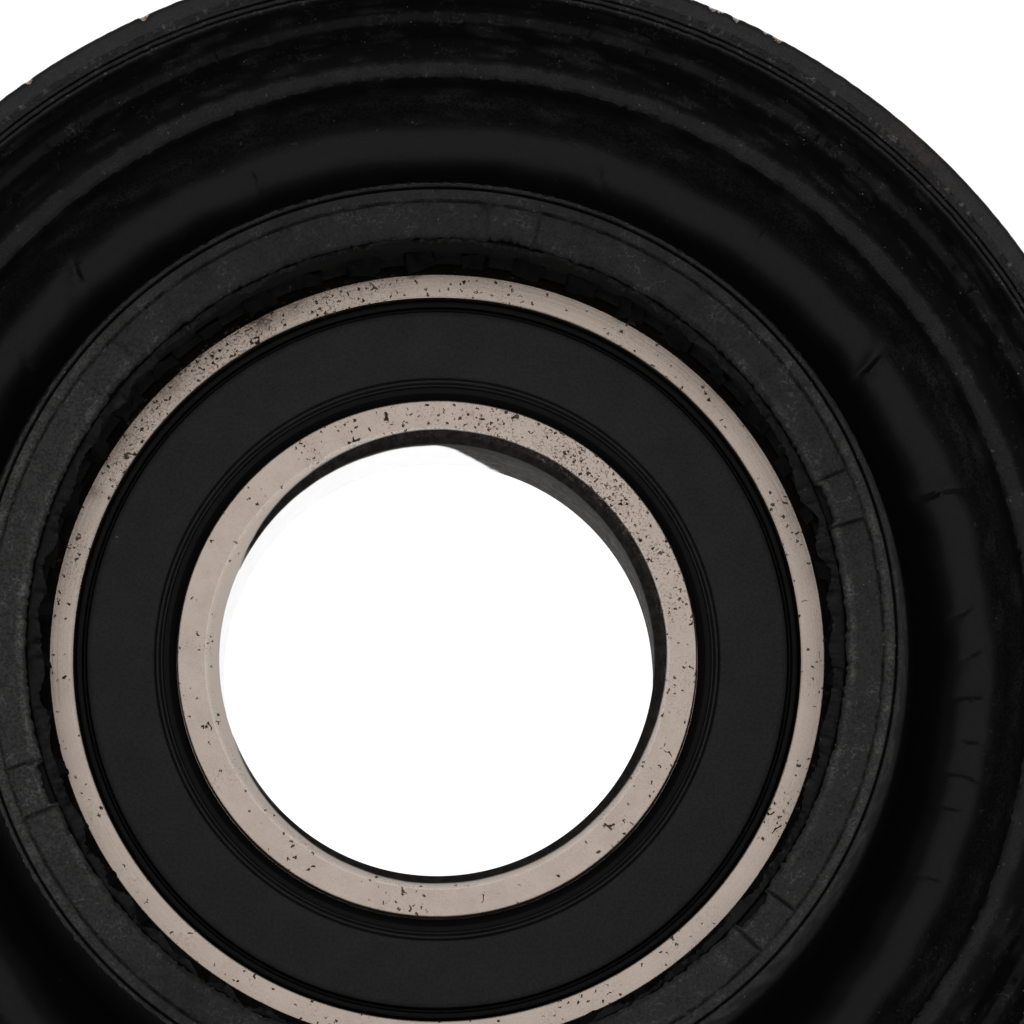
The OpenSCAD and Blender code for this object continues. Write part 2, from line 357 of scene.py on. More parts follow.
class Value:
    """One output of a node. Arithmetic with it adds Math nodes to its tree."""

    def __init__(self, tree, socket):
        self.tree = tree
        self.socket = socket

    def __add__(self, other):
        return calc("ADD", self, other)

    def __sub__(self, other):
        return calc("SUBTRACT", self, other)

    def __rsub__(self, other):
        return calc("SUBTRACT", other, self)

    def __mul__(self, other):
        return calc("MULTIPLY", self, other)

    def __truediv__(self, other):
        return calc("DIVIDE", self, other)

    def __rtruediv__(self, other):
        return calc("DIVIDE", other, self)


class Outputs:
    """The outputs of a node as values, by name or in order."""

    def __init__(self, tree, node):
        self.tree = tree
        self.node = node

    def __getitem__(self, key):
        return Value(self.tree, self.node.outputs[key])


def feed(socket, value):
    """A node's input takes a number, or a link from another node."""
    if isinstance(value, Value):
        value.tree.links.new(value.socket, socket)
    else:
        socket.default_value = value


def put(tree, kind, *values, props=None, **named):
    """The outputs of a new node with its settings, its first inputs in order, and other inputs by name."""
    node = tree.nodes.new(kind)
    for key, value in (props or {}).items():
        setattr(node, key, value)
    for socket, value in zip(node.inputs, values):
        if value is not None:
            feed(socket, value)
    for key, value in named.items():
        feed(node.inputs[key.replace("_", " ")], value)
    return Outputs(tree, node)


def calc(operation, *values):
    tree = next(value.tree for value in values if isinstance(value, Value))
    return put(tree, "ShaderNodeMath", *values, props={"operation": operation})[0]


def most(first, second):
    return calc("MAXIMUM", first, second)


def vector(operation, first, *others, **named):
    props = {"operation": operation}
    return put(first.tree, "ShaderNodeVectorMath", first, *others, props=props, **named)[0]


def xyz(tree, x, y, z):
    return put(tree, "ShaderNodeCombineXYZ", x, y, z)[0]


def between(value, low, high, to_low=0.0, to_high=1.0, steps="SMOOTHSTEP"):
    """value from low to high becomes to_low to to_high and no further, in smooth or linear steps."""
    props = {"interpolation_type": steps}
    return put(value.tree, "ShaderNodeMapRange", value, low, high, to_low, to_high, props=props)[0]


def noise(place, scale, **looks):
    return put(place.tree, "ShaderNodeTexNoise", Vector=place, Scale=scale, **looks)


def stretched(level, low=0.0, high=1.0):
    """A noise level, which lies mostly between 0.3 and 0.7, stretched to run from low to high."""
    return between(level, 0.3, 0.7, low, high)


def centred(field):
    """The colour of a noise as a vector about zero."""
    return vector("SUBTRACT", field[1], (0.5, 0.5, 0.5))


def mixed(share, first, second):
    """A colour between two others. The five inputs before them are for numbers and vectors."""
    colours = [None] * 5 + [first, second]
    return put(share.tree, "ShaderNodeMix", share, *colours, props={"data_type": "RGBA"})[2]


def emptied(owner):
    """The node tree of a material or a world, with no nodes in it."""
    owner.use_nodes = True
    owner.node_tree.nodes.clear()
    return owner.node_tree


def grey(level, tint=(1.0, 1.0, 1.0)):
    return (*(level * t for t in tint), 1.0)


def new_group(name, inputs, outputs):
    """A shader node group with named sockets, and the nodes that stand for them inside."""
    tree = bpy.data.node_groups.new(name, "ShaderNodeTree")
    for key, value in inputs.items():
        kind = "NodeSocketVector" if value is None else "NodeSocketFloat"
        socket = tree.interface.new_socket(name=key, in_out="INPUT", socket_type=kind)
        if value is not None:
            socket.default_value = value
    for key in outputs:
        tree.interface.new_socket(name=key, in_out="OUTPUT", socket_type="NodeSocketFloat")
    return tree, put(tree, "NodeGroupInput"), tree.nodes.new("NodeGroupOutput").inputs


def grain_group():
    """Fine grain and broad mottling, with their sizes in millimetres."""
    inputs = {"Vector": None, "Fine": 0.2, "Broad": 2.0}
    tree, given, result = new_group("moulded grain", inputs, ["Fine", "Broad"])
    for key, detail in (("Fine", 2.0), ("Broad", 3.0)):
        field = noise(given["Vector"], 1 / MM / given[key], Detail=detail, Roughness=0.6)
        feed(result[key], field[0])
    return tree


def specks_group(name, dimensions):
    """Ragged specks in space, or on flat faces across Z: one at most in a cell of a size in millimetres."""
    inputs = {"Vector": None, "Cell": 0.8, "Share": 0.3, "Size": 0.2, "Ragged": 0.1}
    tree, given, result = new_group(name, inputs, ["Mask", "Tone"])
    scale = 1 / MM / given["Cell"]
    wobble = noise(given["Vector"], scale * 3.0, Detail=0.0)
    sway = given["Ragged"] * (given["Cell"] * (2 * MM))
    place = vector("ADD", given["Vector"], vector("SCALE", centred(wobble), Scale=sway))
    shape = {"voronoi_dimensions": dimensions}
    cells = put(tree, "ShaderNodeTexVoronoi", props=shape, Vector=place, Scale=scale)
    chance, growth, tone = put(tree, "ShaderNodeSeparateColor", cells["Color"])
    size = given["Size"] * (growth * 0.65 + 0.35)
    inside = between(cells["Distance"], size, size * 0.6)
    feed(result["Mask"], calc("LESS_THAN", chance, given["Share"]) * inside)
    feed(result["Tone"], tone)
    return tree


def scuffs_group():
    """Thin wandering lines where a patch value is high, with their size in millimetres."""
    inputs = {"Vector": None, "Size": 1.0, "Width": 0.02, "Share": 0.5, "Patch": 0.5}
    tree, given, result = new_group("wandering scuffs", inputs, ["Mask"])
    level = noise(given["Vector"], 1 / MM / given["Size"], Detail=1.0)[0]
    line = between(calc("ABSOLUTE", level - 0.5), given["Width"], 0.0)
    edge = 1.0 - given["Share"]
    feed(result["Mask"], line * between(given["Patch"], edge, edge + 0.08))
    return tree


def rings_group():
    """Turning marks about the bore's axis, which change slowly round it, and the radius in millimetres."""
    tree, given, result = new_group("turning marks", {"Vector": None, "Gap": 0.12}, ["Marks", "Radius"])
    x, y, _ = put(tree, "ShaderNodeSeparateXYZ", given["Vector"])
    radius = calc("SQRT", x * x + y * y) / MM
    change = 0.06 / MM
    place = xyz(tree, radius / given["Gap"], x * change, y * change)
    feed(result["Marks"], noise(place, 1.0, Detail=1.0, Roughness=0.7)[0])
    feed(result["Radius"], radius)
    return tree


GRAIN = grain_group()
SPECKS = specks_group("scattered specks", "3D")
FACE_PITS = specks_group("face pits", "2D")
SCUFFS = scuffs_group()
RINGS = rings_group()


def use(group, coords, **values):
    return put(coords.tree, "ShaderNodeGroup", props={"node_tree": group}, Vector=coords, **values)


def bumped(height, depth):
    """Relief of that depth in millimetres from a height of 0 to 1."""
    return put(height.tree, "ShaderNodeBump", Strength=1.0, Distance=depth * MM, Height=height)[0]


def attribute(tree, name):
    return put(tree, "ShaderNodeAttribute", props={"attribute_name": name})["Fac"]


# Colours of the rubber, the paint and the steel
RUBBER_BLACK = grey(0.0032)
# Pale grey of worn rubber, also laid on the lip as painted light
RUBBER_WORN_AND_LIT = grey(0.024, (1.0, 0.99, 0.98))
RUBBER_SCUFF = grey(0.075)
RUBBER_SPECK = grey(0.11)
# Pale dust, also laid on the lip's edges as a painted highlight
RUBBER_DUST_AND_SHEEN = grey(0.16, (1.0, 0.98, 0.95))
SEAL_DARK = grey(0.0088)
SEAL_PALE = grey(0.0128)
# Dark spots painted as the shade of dents on the seal
SEAL_DENT_SHADE = grey(0.002)
SEAL_SPECK = grey(0.15)
# Painted shade for the seal's rim beside the outer ring and for its sloping lip
SEAL_RIM_SHADE = grey(0.0035, (1.0, 0.9, 0.8))
SEAL_LIP_SHADE = grey(0.0065)
PAINT_DARK = grey(0.0075)
PAINT_PALE = grey(0.0145, (1.0, 0.98, 0.97))
PAINT_SPECK = grey(0.12, (1.0, 0.95, 0.92))
RUST_TINT = (0.05, 0.027, 0.023, 1)
RUST = (0.24, 0.12, 0.07, 1)
CHIP_STEEL = (0.62, 0.58, 0.54, 1)
STEEL_DARK = (0.32, 0.263, 0.226, 1)
STEEL_PALE = (0.472, 0.398, 0.347, 1)
STEEL_STAIN = (0.10, 0.072, 0.055, 1)
PIT_DARK = (0.045, 0.03, 0.022, 1)
PIT_PALE = (0.15, 0.11, 0.088, 1)
BAND_BLACK = (0.011, 0.009, 0.008, 1)
BAND_GREY = (0.12, 0.106, 0.097, 1)
BORE_BARE = grey(1.0)
# Pale matte colour on the bore's front corner, a painted highlight
CORNER_HIGHLIGHT = (0.98, 0.84, 0.74, 1)
CAGE_DARK = grey(0.36)
CAGE_PALE = grey(0.52, (1.0, 0.98, 0.95))
BALL_DARK = grey(0.6)
BALL_PALE = grey(0.7, (0.98, 0.99, 1.0))


def cushion_rubber(coords):
    """Black moulded rubber: smooth in the channel, dull in hollows, grey and speckled where it is worn, and
    painted paler where light falls on the lip's top, edges and outer wall.
    """
    worn, dull, dust, crumbed = [attribute(coords.tree, key) for key in ("worn", "dull", "dust", "crumbed")]
    grain = use(GRAIN, coords, Fine=0.19, Broad=1.5)
    specks = use(SPECKS, coords, Cell=0.5, Share=0.7, Size=0.26, Ragged=0.3)
    scuffs = use(SCUFFS, coords, Size=0.55, Width=0.07, Share=0.46, Patch=grain["Broad"])
    mottled = worn * stretched(grain["Broad"], 0.7, 1.25) * stretched(grain["Fine"], 0.55, 1.45)
    base = mixed(mottled, RUBBER_BLACK, RUBBER_WORN_AND_LIT)
    broken = scuffs["Mask"] * between(grain["Fine"], 0.38, 0.52, 0.0, 2.2)
    base = mixed(calc("MINIMUM", crumbed * broken, 1.0), base, RUBBER_SCUFF)
    base = mixed((worn + 0.08) * specks["Mask"] * specks["Tone"] * specks["Tone"], base, RUBBER_SPECK)
    dusty_and_sheen = dust * between(grain["Fine"], 0.36, 0.66, 0.5, 1.8)
    return {
        "Base_Color": mixed(dusty_and_sheen, base, RUBBER_DUST_AND_SHEEN),
        "Roughness": stretched(grain["Fine"], 0.3, 0.36) + worn * 0.15 + dull * 0.45,
        "Specular_IOR_Level": 0.13,
        "Normal": bumped((worn + 0.15) * grain["Fine"], 0.04),
    }


def seal_rubber(coords):
    """Dark grey moulded seal, fine and flat, with dark spots painted as the shade of dents, pale specks, and
    painted shade at its rim and on its sloping lip.
    """
    grain = use(GRAIN, coords, Fine=0.22, Broad=3.0)
    specks = use(SPECKS, coords, Cell=1.5, Share=0.3, Size=0.1, Ragged=0.15)
    radius = use(RINGS, coords, Gap=0.2)["Radius"]
    base = mixed(stretched(grain["Broad"]), SEAL_DARK, SEAL_PALE)
    # Dark spots are painted shade of dents, the rest are pale specks
    spot = mixed(calc("GREATER_THAN", specks["Tone"], 0.6), SEAL_DENT_SHADE, SEAL_SPECK)
    base = mixed(specks["Mask"] * 0.9, base, spot)
    # Painted shade at the rim beside the outer ring and on the sloping lip
    rim_shade = between(radius, WEB_OUT_R + 0.02, WEB_OUT_R + 0.1)
    lip_shade = between(radius, WEB_IN_R - 0.38, WEB_IN_R - 0.48)
    painted_shade = most(rim_shade, lip_shade)
    return {
        "Base_Color": mixed(painted_shade, base, mixed(lip_shade, SEAL_RIM_SHADE, SEAL_LIP_SHADE)),
        "Roughness": stretched(grain["Fine"], 0.36, 0.46) + painted_shade * 0.2,
        "Specular_IOR_Level": 0.16,
        "Normal": bumped(grain["Fine"], 0.01),
    }


def shell_paint(coords):
    """Satin black paint with bare and rusty steel where the edge is chipped, and a rusty tint beside it."""
    bare, rust = [attribute(coords.tree, key) for key in ("bare", "rust")]
    grain = use(GRAIN, coords, Fine=0.16, Broad=1.8)
    specks = use(SPECKS, coords, Cell=0.6, Share=0.5, Size=0.2, Ragged=0.3)
    paint = mixed(stretched(grain["Broad"]), PAINT_DARK, PAINT_PALE)
    paint = mixed(rust * between(grain["Broad"], 0.4, 0.6, 0.0, 0.55), paint, RUST_TINT)
    paint = mixed(specks["Mask"] * specks["Tone"] * 0.6, paint, PAINT_SPECK)
    metal = mixed(between(grain["Fine"], 0.35, 0.65), RUST, CHIP_STEEL)
    chipped = between(bare + grain["Fine"] * 0.5, 0.62, 0.72)
    return {
        "Base_Color": mixed(chipped, paint, metal),
        "Metallic": chipped * 0.5,
        "Roughness": stretched(grain["Fine"], 0.38, 0.5),
        "Specular_IOR_Level": 0.3,
        "Normal": bumped(grain["Fine"], 0.02),
    }


def ring_pits(coords, pitted):
    """Mask of the small pits on a ring's faces, and of a few larger chips among them."""
    small = use(FACE_PITS, coords, Cell=0.43, Share=1.0, Size=0.32, Ragged=0.35)
    large = use(FACE_PITS, coords, Cell=1.3, Share=0.7, Size=0.18, Ragged=0.5)
    crowded = calc("LESS_THAN", small["Tone"], pitted * 0.72)
    sparse = calc("LESS_THAN", large["Tone"], pitted * 0.6 + 0.1)
    return most(small["Mask"] * crowded, large["Mask"] * sparse)


# Dark band in the bore: the angle where it goes deepest, the angle where the corner shows a painted highlight
# instead, its width and depth
BAND_DEEP_ANGLE = math.radians(38)
CORNER_HIGHLIGHT_ANGLE = math.radians(178)
BAND_W = 0.95
BAND_EDGE = 0.1
BAND_D = 12.0
BAND_STRETCH = 0.6


def bore_dark_band(x, y, z, radius):
    """Mask and colour of a dark band on the bore's front corner and down its wall, with a ragged end, deep on
    one side.
    """
    blotches = use(GRAIN, xyz(x.tree, x, y, z * BAND_STRETCH), Fine=0.6, Broad=2.6)
    ragged = blotches["Broad"] - 0.5

    def toward(angle):
        """Cosine of the turn from that angle, on the bore."""
        return x * (math.cos(angle) / BORE_R / MM) + y * (math.sin(angle) / BORE_R / MM)

    # The dark band begins 22 degrees from the painted highlight and has its full width 84 degrees from it
    spread = between(toward(CORNER_HIGHLIGHT_ANGLE), 0.927, 0.1, steps="LINEAR")
    widest = between(y, -12.0 * MM, 4.0 * MM, 0.7, 1.0) * (BAND_W + BAND_EDGE)
    width = calc("POWER", spread, 0.36) * widest - BAND_EDGE
    outside = radius - BORE_R - width
    on_corner = between(outside + ragged * 0.12, BAND_EDGE, -BAND_EDGE)

    deepness = between(toward(BAND_DEEP_ANGLE), 0.6, 0.92)
    end = FACE_Z - BORE_CHAMFER - (width + deepness * BAND_D)
    above = z / MM - end
    wander = ragged * (deepness * 9.0 + 0.8)
    on_wall = between(above + wander, (deepness + 0.15) * -2.2, 0.5)

    rear = between(z, 5.0 * MM, 0.0)
    spotted = between(blotches["Fine"], 0.35, 0.7) * (rear + 0.15)
    return on_corner * on_wall, mixed(spotted, BAND_BLACK, BAND_GREY)


def ring_steel(coords):
    """Ground bearing steel with brown pits, a dark band in the bore that is spotted paler to the rear, and a
    painted highlight on the bore's front corner where the band leaves it.
    """
    pitted, stained = [attribute(coords.tree, key) for key in ("pitted", "stained")]
    grain = use(GRAIN, coords, Fine=0.14, Broad=1.6)
    rings = use(RINGS, coords, Gap=0.16)
    x, y, z = put(coords.tree, "ShaderNodeSeparateXYZ", coords)
    tone = grain["Fine"] * 0.6 + grain["Broad"] * 0.4
    steel = mixed(between(tone, 0.35, 0.65), STEEL_DARK, STEEL_PALE)

    corner_r = BORE_R + BORE_CHAMFER
    corner_z = FACE_Z - BORE_CHAMFER
    banded, band_colour = bore_dark_band(x, y, z, rings["Radius"])
    in_bore = between(rings["Radius"], corner_r + 0.2, corner_r + 0.1)
    corner = in_bore * between(z, corner_z * MM, (corner_z + 0.1) * MM)
    # Where the dark band leaves the bore's front corner, it is painted pale as a highlight
    corner_highlight = corner * (1.0 - banded)
    bore = mixed(corner_highlight, mixed(banded, BORE_BARE, band_colour), CORNER_HIGHLIGHT)
    base = mixed(in_bore, steel, bore)

    on_face = between(calc("ABSOLUTE", z), (FACE_Z - 0.4) * MM, (FACE_Z - 0.3) * MM)
    freckled = pitted * between(grain["Fine"], 0.51, 0.63, 0.0, 0.8)
    smeared = stained * between(grain["Fine"], 0.36, 0.56, 0.2, 0.9)
    base = mixed(most(freckled, smeared) * on_face, base, STEEL_STAIN)
    pits = ring_pits(coords, pitted) * on_face
    base = mixed(pits, base, mixed(between(grain["Broad"], 0.42, 0.6), PIT_DARK, PIT_PALE))
    covered = most(pits, in_bore * banded)
    return {
        "Base_Color": base,
        "Metallic": 1.0 - most(covered, corner_highlight),
        "Roughness": stretched(tone, 0.28, 0.4) + covered * 0.4,
        "Specular_IOR_Level": 0.12,
        "Normal": bumped(rings["Marks"] * 0.6 + grain["Fine"] * 0.4, 0.008),
    }


def cage_steel(coords):
    """Pressed sheet steel, dull and a little oily."""
    grain = use(GRAIN, coords, Fine=0.2, Broad=1.4)
    return {
        "Base_Color": mixed(stretched(grain["Broad"]), CAGE_DARK, CAGE_PALE),
        "Metallic": 1.0,
        "Roughness": stretched(grain["Fine"], 0.3, 0.46),
        "Normal": bumped(grain["Fine"], 0.01),
    }


def ball_steel(coords):
    """Polished balls with a faint film of grease."""
    grain = use(GRAIN, coords, Fine=0.5, Broad=3.0)
    return {
        "Base_Color": mixed(stretched(grain["Broad"]), BALL_DARK, BALL_PALE),
        "Metallic": 1.0,
        "Roughness": stretched(grain["Fine"], 0.06, 0.16),
    }


def new_material(looks):
    """A material with the name of a function, which gives its surface by its Object coordinates."""
    made = bpy.data.materials.new(looks.__name__)
    tree = emptied(made)
    coords = put(tree, "ShaderNodeTexCoord")["Object"]
    shader = put(tree, "ShaderNodeBsdfPrincipled", **looks(coords))
    put(tree, "ShaderNodeOutputMaterial", shader[0])
    return made


SURFACES = (cushion_rubber, seal_rubber, shell_paint, ring_steel, cage_steel, ball_steel)
MATERIALS = {looks.__name__: new_material(looks) for looks in SURFACES}


def fit(piece, body, slot, *nodes):
    """A finished piece takes its slot's material, rides on its body and stands for its nodes."""
    piece.data.materials.clear()
    piece.data.materials.append(MATERIALS[slot])
    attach(piece, body)
    if nodes:
        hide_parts(*nodes)
    return piece


# The rubber cushion


# Where the lip's wall is scuffed and painted lighter as lit, where the bead is worn most, and where the lip's
# top is painted lighter as lit
WALL_LIT_ANGLE = math.radians(-36)
BEAD_ANGLE = math.radians(25)
LIP_LIT_ANGLE = math.radians(-40)

# Where the vents are nearly closed: angle and half width in degrees, share
CLOSED_ANGLE = 115.0
CLOSED_HALF = 60.0
CLOSED_SHARE = 0.92

# Fine lines, the trough beside the bead and the gutter beside the rim
LIP_LINES = [LIP_EDGE_R - 1.2, LIP_EDGE_R - 0.3]
LIP_LINE_W = [0.3, 0.26]
LIP_LINE_D = [0.16, 0.38]
RIM_LINES = [RIM_EDGE_R + 0.26, RIM_EDGE_R + 0.66]
RIM_LINE_W = 0.2
RIM_LINE_D = 0.3
TROUGH_R = BEAD_IN_R - 0.9
TROUGH_D = 1.3
GUTTER_D = 1.0


def fine_line(middle, level, width, depth):
    """Corners of a narrow V line in a flat face."""
    return [
        (middle - width / 2, level, 0, 0.4, 1),
        (middle, level - depth, 0, 0.4, 1),
        (middle + width / 2, level, 0, 0.45, 1),
    ]


def cushion_corners():
    """The cushion's section: over the front from the lip to the shell, then back along the rear."""
    lip = [(LIP_IN_R, LIP_Z, 0.4, 0.4, 1)]
    for line_r, width, depth in zip(LIP_LINES, LIP_LINE_W, LIP_LINE_D):
        lip += fine_line(line_r, LIP_Z, width, depth)
    lip += [
        (LIP_EDGE_R, LIP_Z, 0.2, 0.4, 1),
        (LIP_OUT_R + 0.1, LIP_Z - 1.5, 0, 0.8, 1),
        (LIP_OUT_R + 0.6, LIP_Z - 7.5, 0, 1.2, 2),
    ]
    front = [
        (FOOT_R, FLOOR_Z, CHANNEL_R, 0.5, 2),
        (LAND_IN_R, FLOOR_Z, CHANNEL_R, 0.5, 2),
        (LAND_IN_R, RIM_Z, 0.35, 0.4, 1),
        (LAND_EDGE_R, RIM_Z, 0.12, 0.45, 1),
        (TROUGH_R, RIM_Z - TROUGH_D, 0, 0.45, 1),
        (BEAD_IN_R, RIM_Z - 0.05, 0.3, 0.3, 1),
        (BEAD_OUT_R, RIM_Z - 0.05, 0.3, 0.4, 1),
        ((BEAD_OUT_R + RIM_EDGE_R) / 2, RIM_Z - GUTTER_D, 0, 0.4, 1),
        (RIM_EDGE_R, RIM_Z, 0, 0.4, 1),
    ]
    for line_r in RIM_LINES:
        front += fine_line(line_r, RIM_Z, RIM_LINE_W, RIM_LINE_D)
    front += [(SKIN_R, RIM_Z, 0, 0.5, 1), (SKIN_R, RIM_Z - 0.9, 0, 3.0, 4)]
    rear = [
        (SKIN_R, SKIRT_Z, BEND_R - SHELL_T + BOND_GAP, 1.0, 4),
        (SKIRT_R, SKIRT_Z, 0.5, 2.0, 4),
        (SKIRT_R, REAR_GROOVE_Z, REAR_GROOVE_R, 1.0, 4),
        (WEB_R, REAR_GROOVE_Z, REAR_GROOVE_R, 1.0, 4),
        (WEB_R, WEB_Z, CHANNEL_R, 1.0, 4),
        (HUB_R, WEB_Z, WEB_T / 2, 1.0, 4),
        (HUB_R, HUB_Z, 0.5, 1.5, 4),
        (STOP_R, HUB_Z, 0.5, 1.5, 4),
        (STOP_R, STOP_Z, 0.1, 1.5, 4),
        (HOLD_R, STOP_Z, RING_CORNER / 2, 2.5, 4),
        (HOLD_R, FACE_Z, 0, 1.0, 4),
        (LIP_IN_R, FACE_Z, 0, 0.9, 2),
        (LIP_IN_R, VENT_LOW_Z, 0, 1.2, 1),
        (LIP_IN_R, LIP_Z - 0.8, 0, 0.4, 1),
    ]
    return lip + front + rear


# Waves: seed, fewest and most cycles a turn, change across the section, and how many are summed
LAND_IN_WAVE = ring_waves(11, 50, 380, 40)
LAND_OUT_WAVE = ring_waves(12, 50, 400, 40)
LAND_DRIFT_WAVE = ring_waves(13, 3, 14, 12)
BEAD_SHIFT_WAVE = ring_waves(14, 40, 360, 40)
BEAD_GAP_WAVE = ring_waves(15, 30, 300, 40)
RIM_WAVE = ring_waves(16, 60, 400, 40)
LIP_IN_WAVE = ring_waves(17, 30, 360, 40)
LIP_OUT_WAVE = ring_waves(18, 30, 400, 40)
LUMPS = surface_waves(19, 40, 380, 8.0, 48)
STREAKS = surface_waves(46, 4, 60, 9.0, 48)
PATCHES = surface_waves(47, 10, 110, 3.0, 40)
LINE_WAVE = ring_waves(48, 40, 380, 40)
SWELL = surface_waves(20, 2, 14, 0.6)
CHANNEL_WAVE = ring_waves(49, 8, 50)


def folded(radius, height, angle):
    """Fall of the channel at its folds, each a fine groove with a low swelling beside it."""
    on_floor = smooth(-height, -1.5, 0.5) * (height > FLOOR_Z - 0.5)
    on_floor = on_floor * within(radius, FOOT_R - 1.0, LAND_IN_R + 0.1)
    fall = np.zeros_like(radius)
    for degrees, middle, half, depth, slant in FOLDS:
        along = (radius - middle) / half
        window = np.exp(-(along**4))
        crook = slant * along + FOLD_CROOK * np.sin(4 * along + degrees)
        arc = turn_from(angle, math.radians(degrees)) * radius - crook
        groove = 0.6 * near(arc, 0, FOLD_W)
        swelling = 0.9 * near(arc, 0.4, 0.3)
        fall += FOLD_GAIN * depth * window * (groove - swelling)
    return fall * on_floor


def bead_gaps(angle):
    """Share of the bead that is torn away."""
    return smooth(BEAD_GAP_WAVE(angle), 0.5, 1.5)


def lip_wall(radius, height):
    """Share of the upper part of the lip's outer wall."""
    return within(radius, LIP_EDGE_R - 0.05, FOOT_R) * smooth(height, LIP_Z - 8.0, LIP_Z - 4.0)


def collar_shift(radius, height, angle, lumps):
    """Ragged lands, bead and rim beside the shell: how far they move outwards and upwards."""
    on_collar = (height > RIM_Z - TROUGH_D - 0.3) * within(radius, LAND_IN_R - 0.4, SKIN_R - 0.05)
    bead_mid_r = (BEAD_IN_R + BEAD_OUT_R) / 2
    drift = LAND_DRIFT_WAVE(angle)
    outward = [
        (0.04 * LAND_IN_WAVE(angle) + 0.04 * drift) * near(radius, LAND_IN_R, 0.45),
        (0.05 * LAND_OUT_WAVE(angle) - 0.05 * drift) * near(radius, LAND_EDGE_R, 0.45),
        (0.045 * BEAD_SHIFT_WAVE(angle) + 0.05 * drift) * near(radius, bead_mid_r, 0.6),
        0.015 * RIM_WAVE(angle) * near(radius, RIM_EDGE_R + 0.3, 0.4),
    ]
    upward = [
        0.016 * lumps * smooth(SKIN_R - radius, 0.5, 1.5),
        -0.3 * bead_gaps(angle) * near(radius, bead_mid_r, 0.5),
    ]
    return on_collar * sum(outward), on_collar * sum(upward)


def channel_shift(radius, height, angle, lumps):
    """Folds and slight waves in the channel: how far its floor moves outwards and upwards."""
    in_channel = within(radius, FOOT_R, LAND_IN_R - 0.3) * within(height, FLOOR_Z - 0.2, RIM_Z - 1)
    outward = 0.1 * CHANNEL_WAVE(angle) * smooth(-height, -1.0, 1.5)
    upward = 0.03 * SWELL(angle, radius) + 0.004 * lumps
    return in_channel * outward, in_channel * upward - folded(radius, height, angle)


def lip_shift(radius, height, angle, lumps):
    """Vents, seams, fine lines and ragged edges of the lip: how far it moves outwards and upwards."""
    vent_edge_r = LIP_IN_R + 1.2
    from_vent = np.abs(turn_from(VENT_COUNT * angle, VENT_COUNT * VENT_ANGLE) / VENT_COUNT)
    opened = 1 - CLOSED_SHARE * at_angle(angle, CLOSED_ANGLE, CLOSED_HALF)
    vent = (height > VENT_LOW_Z) * smooth(vent_edge_r - radius, 0.0, 0.8)
    vent = vent * smooth(VENT_W / 2 - from_vent * radius, -0.08, 0.08)
    on_lip = (height > LIP_Z - 1.0) * (radius < LIP_OUT_R + 0.3)
    at_line = on_lip * near(radius, LIP_LINES[0], 0.14)
    outward = [
        VENT_D * vent * opened,
        0.05 * LIP_IN_WAVE(angle) * near(radius, LIP_IN_R, 0.5) * on_lip,
        0.035 * lumps * lip_wall(radius, height),
        0.025 * LINE_WAVE(angle) * at_line,
    ]
    on_face = (height > LIP_Z - 0.5) * (radius < LIP_LINES[0] - 0.05)
    seam = SEAM_D * near((from_vent - SEAM_ANGLE) * radius, 0, SEAM_W)
    sunk = 0.08 * smooth(SEAM_ANGLE - from_vent, -0.002, 0.002)
    upward = [
        0.012 * LIP_OUT_WAVE(angle) * near(radius, LIP_EDGE_R - 0.4, 0.5) * on_lip,
        -0.04 * LIP_IN_WAVE(angle) * at_line * (height < LIP_Z - 0.1),
        (0.014 * lumps - opened * (seam + sunk)) * on_face,
    ]
    return sum(outward), sum(upward)


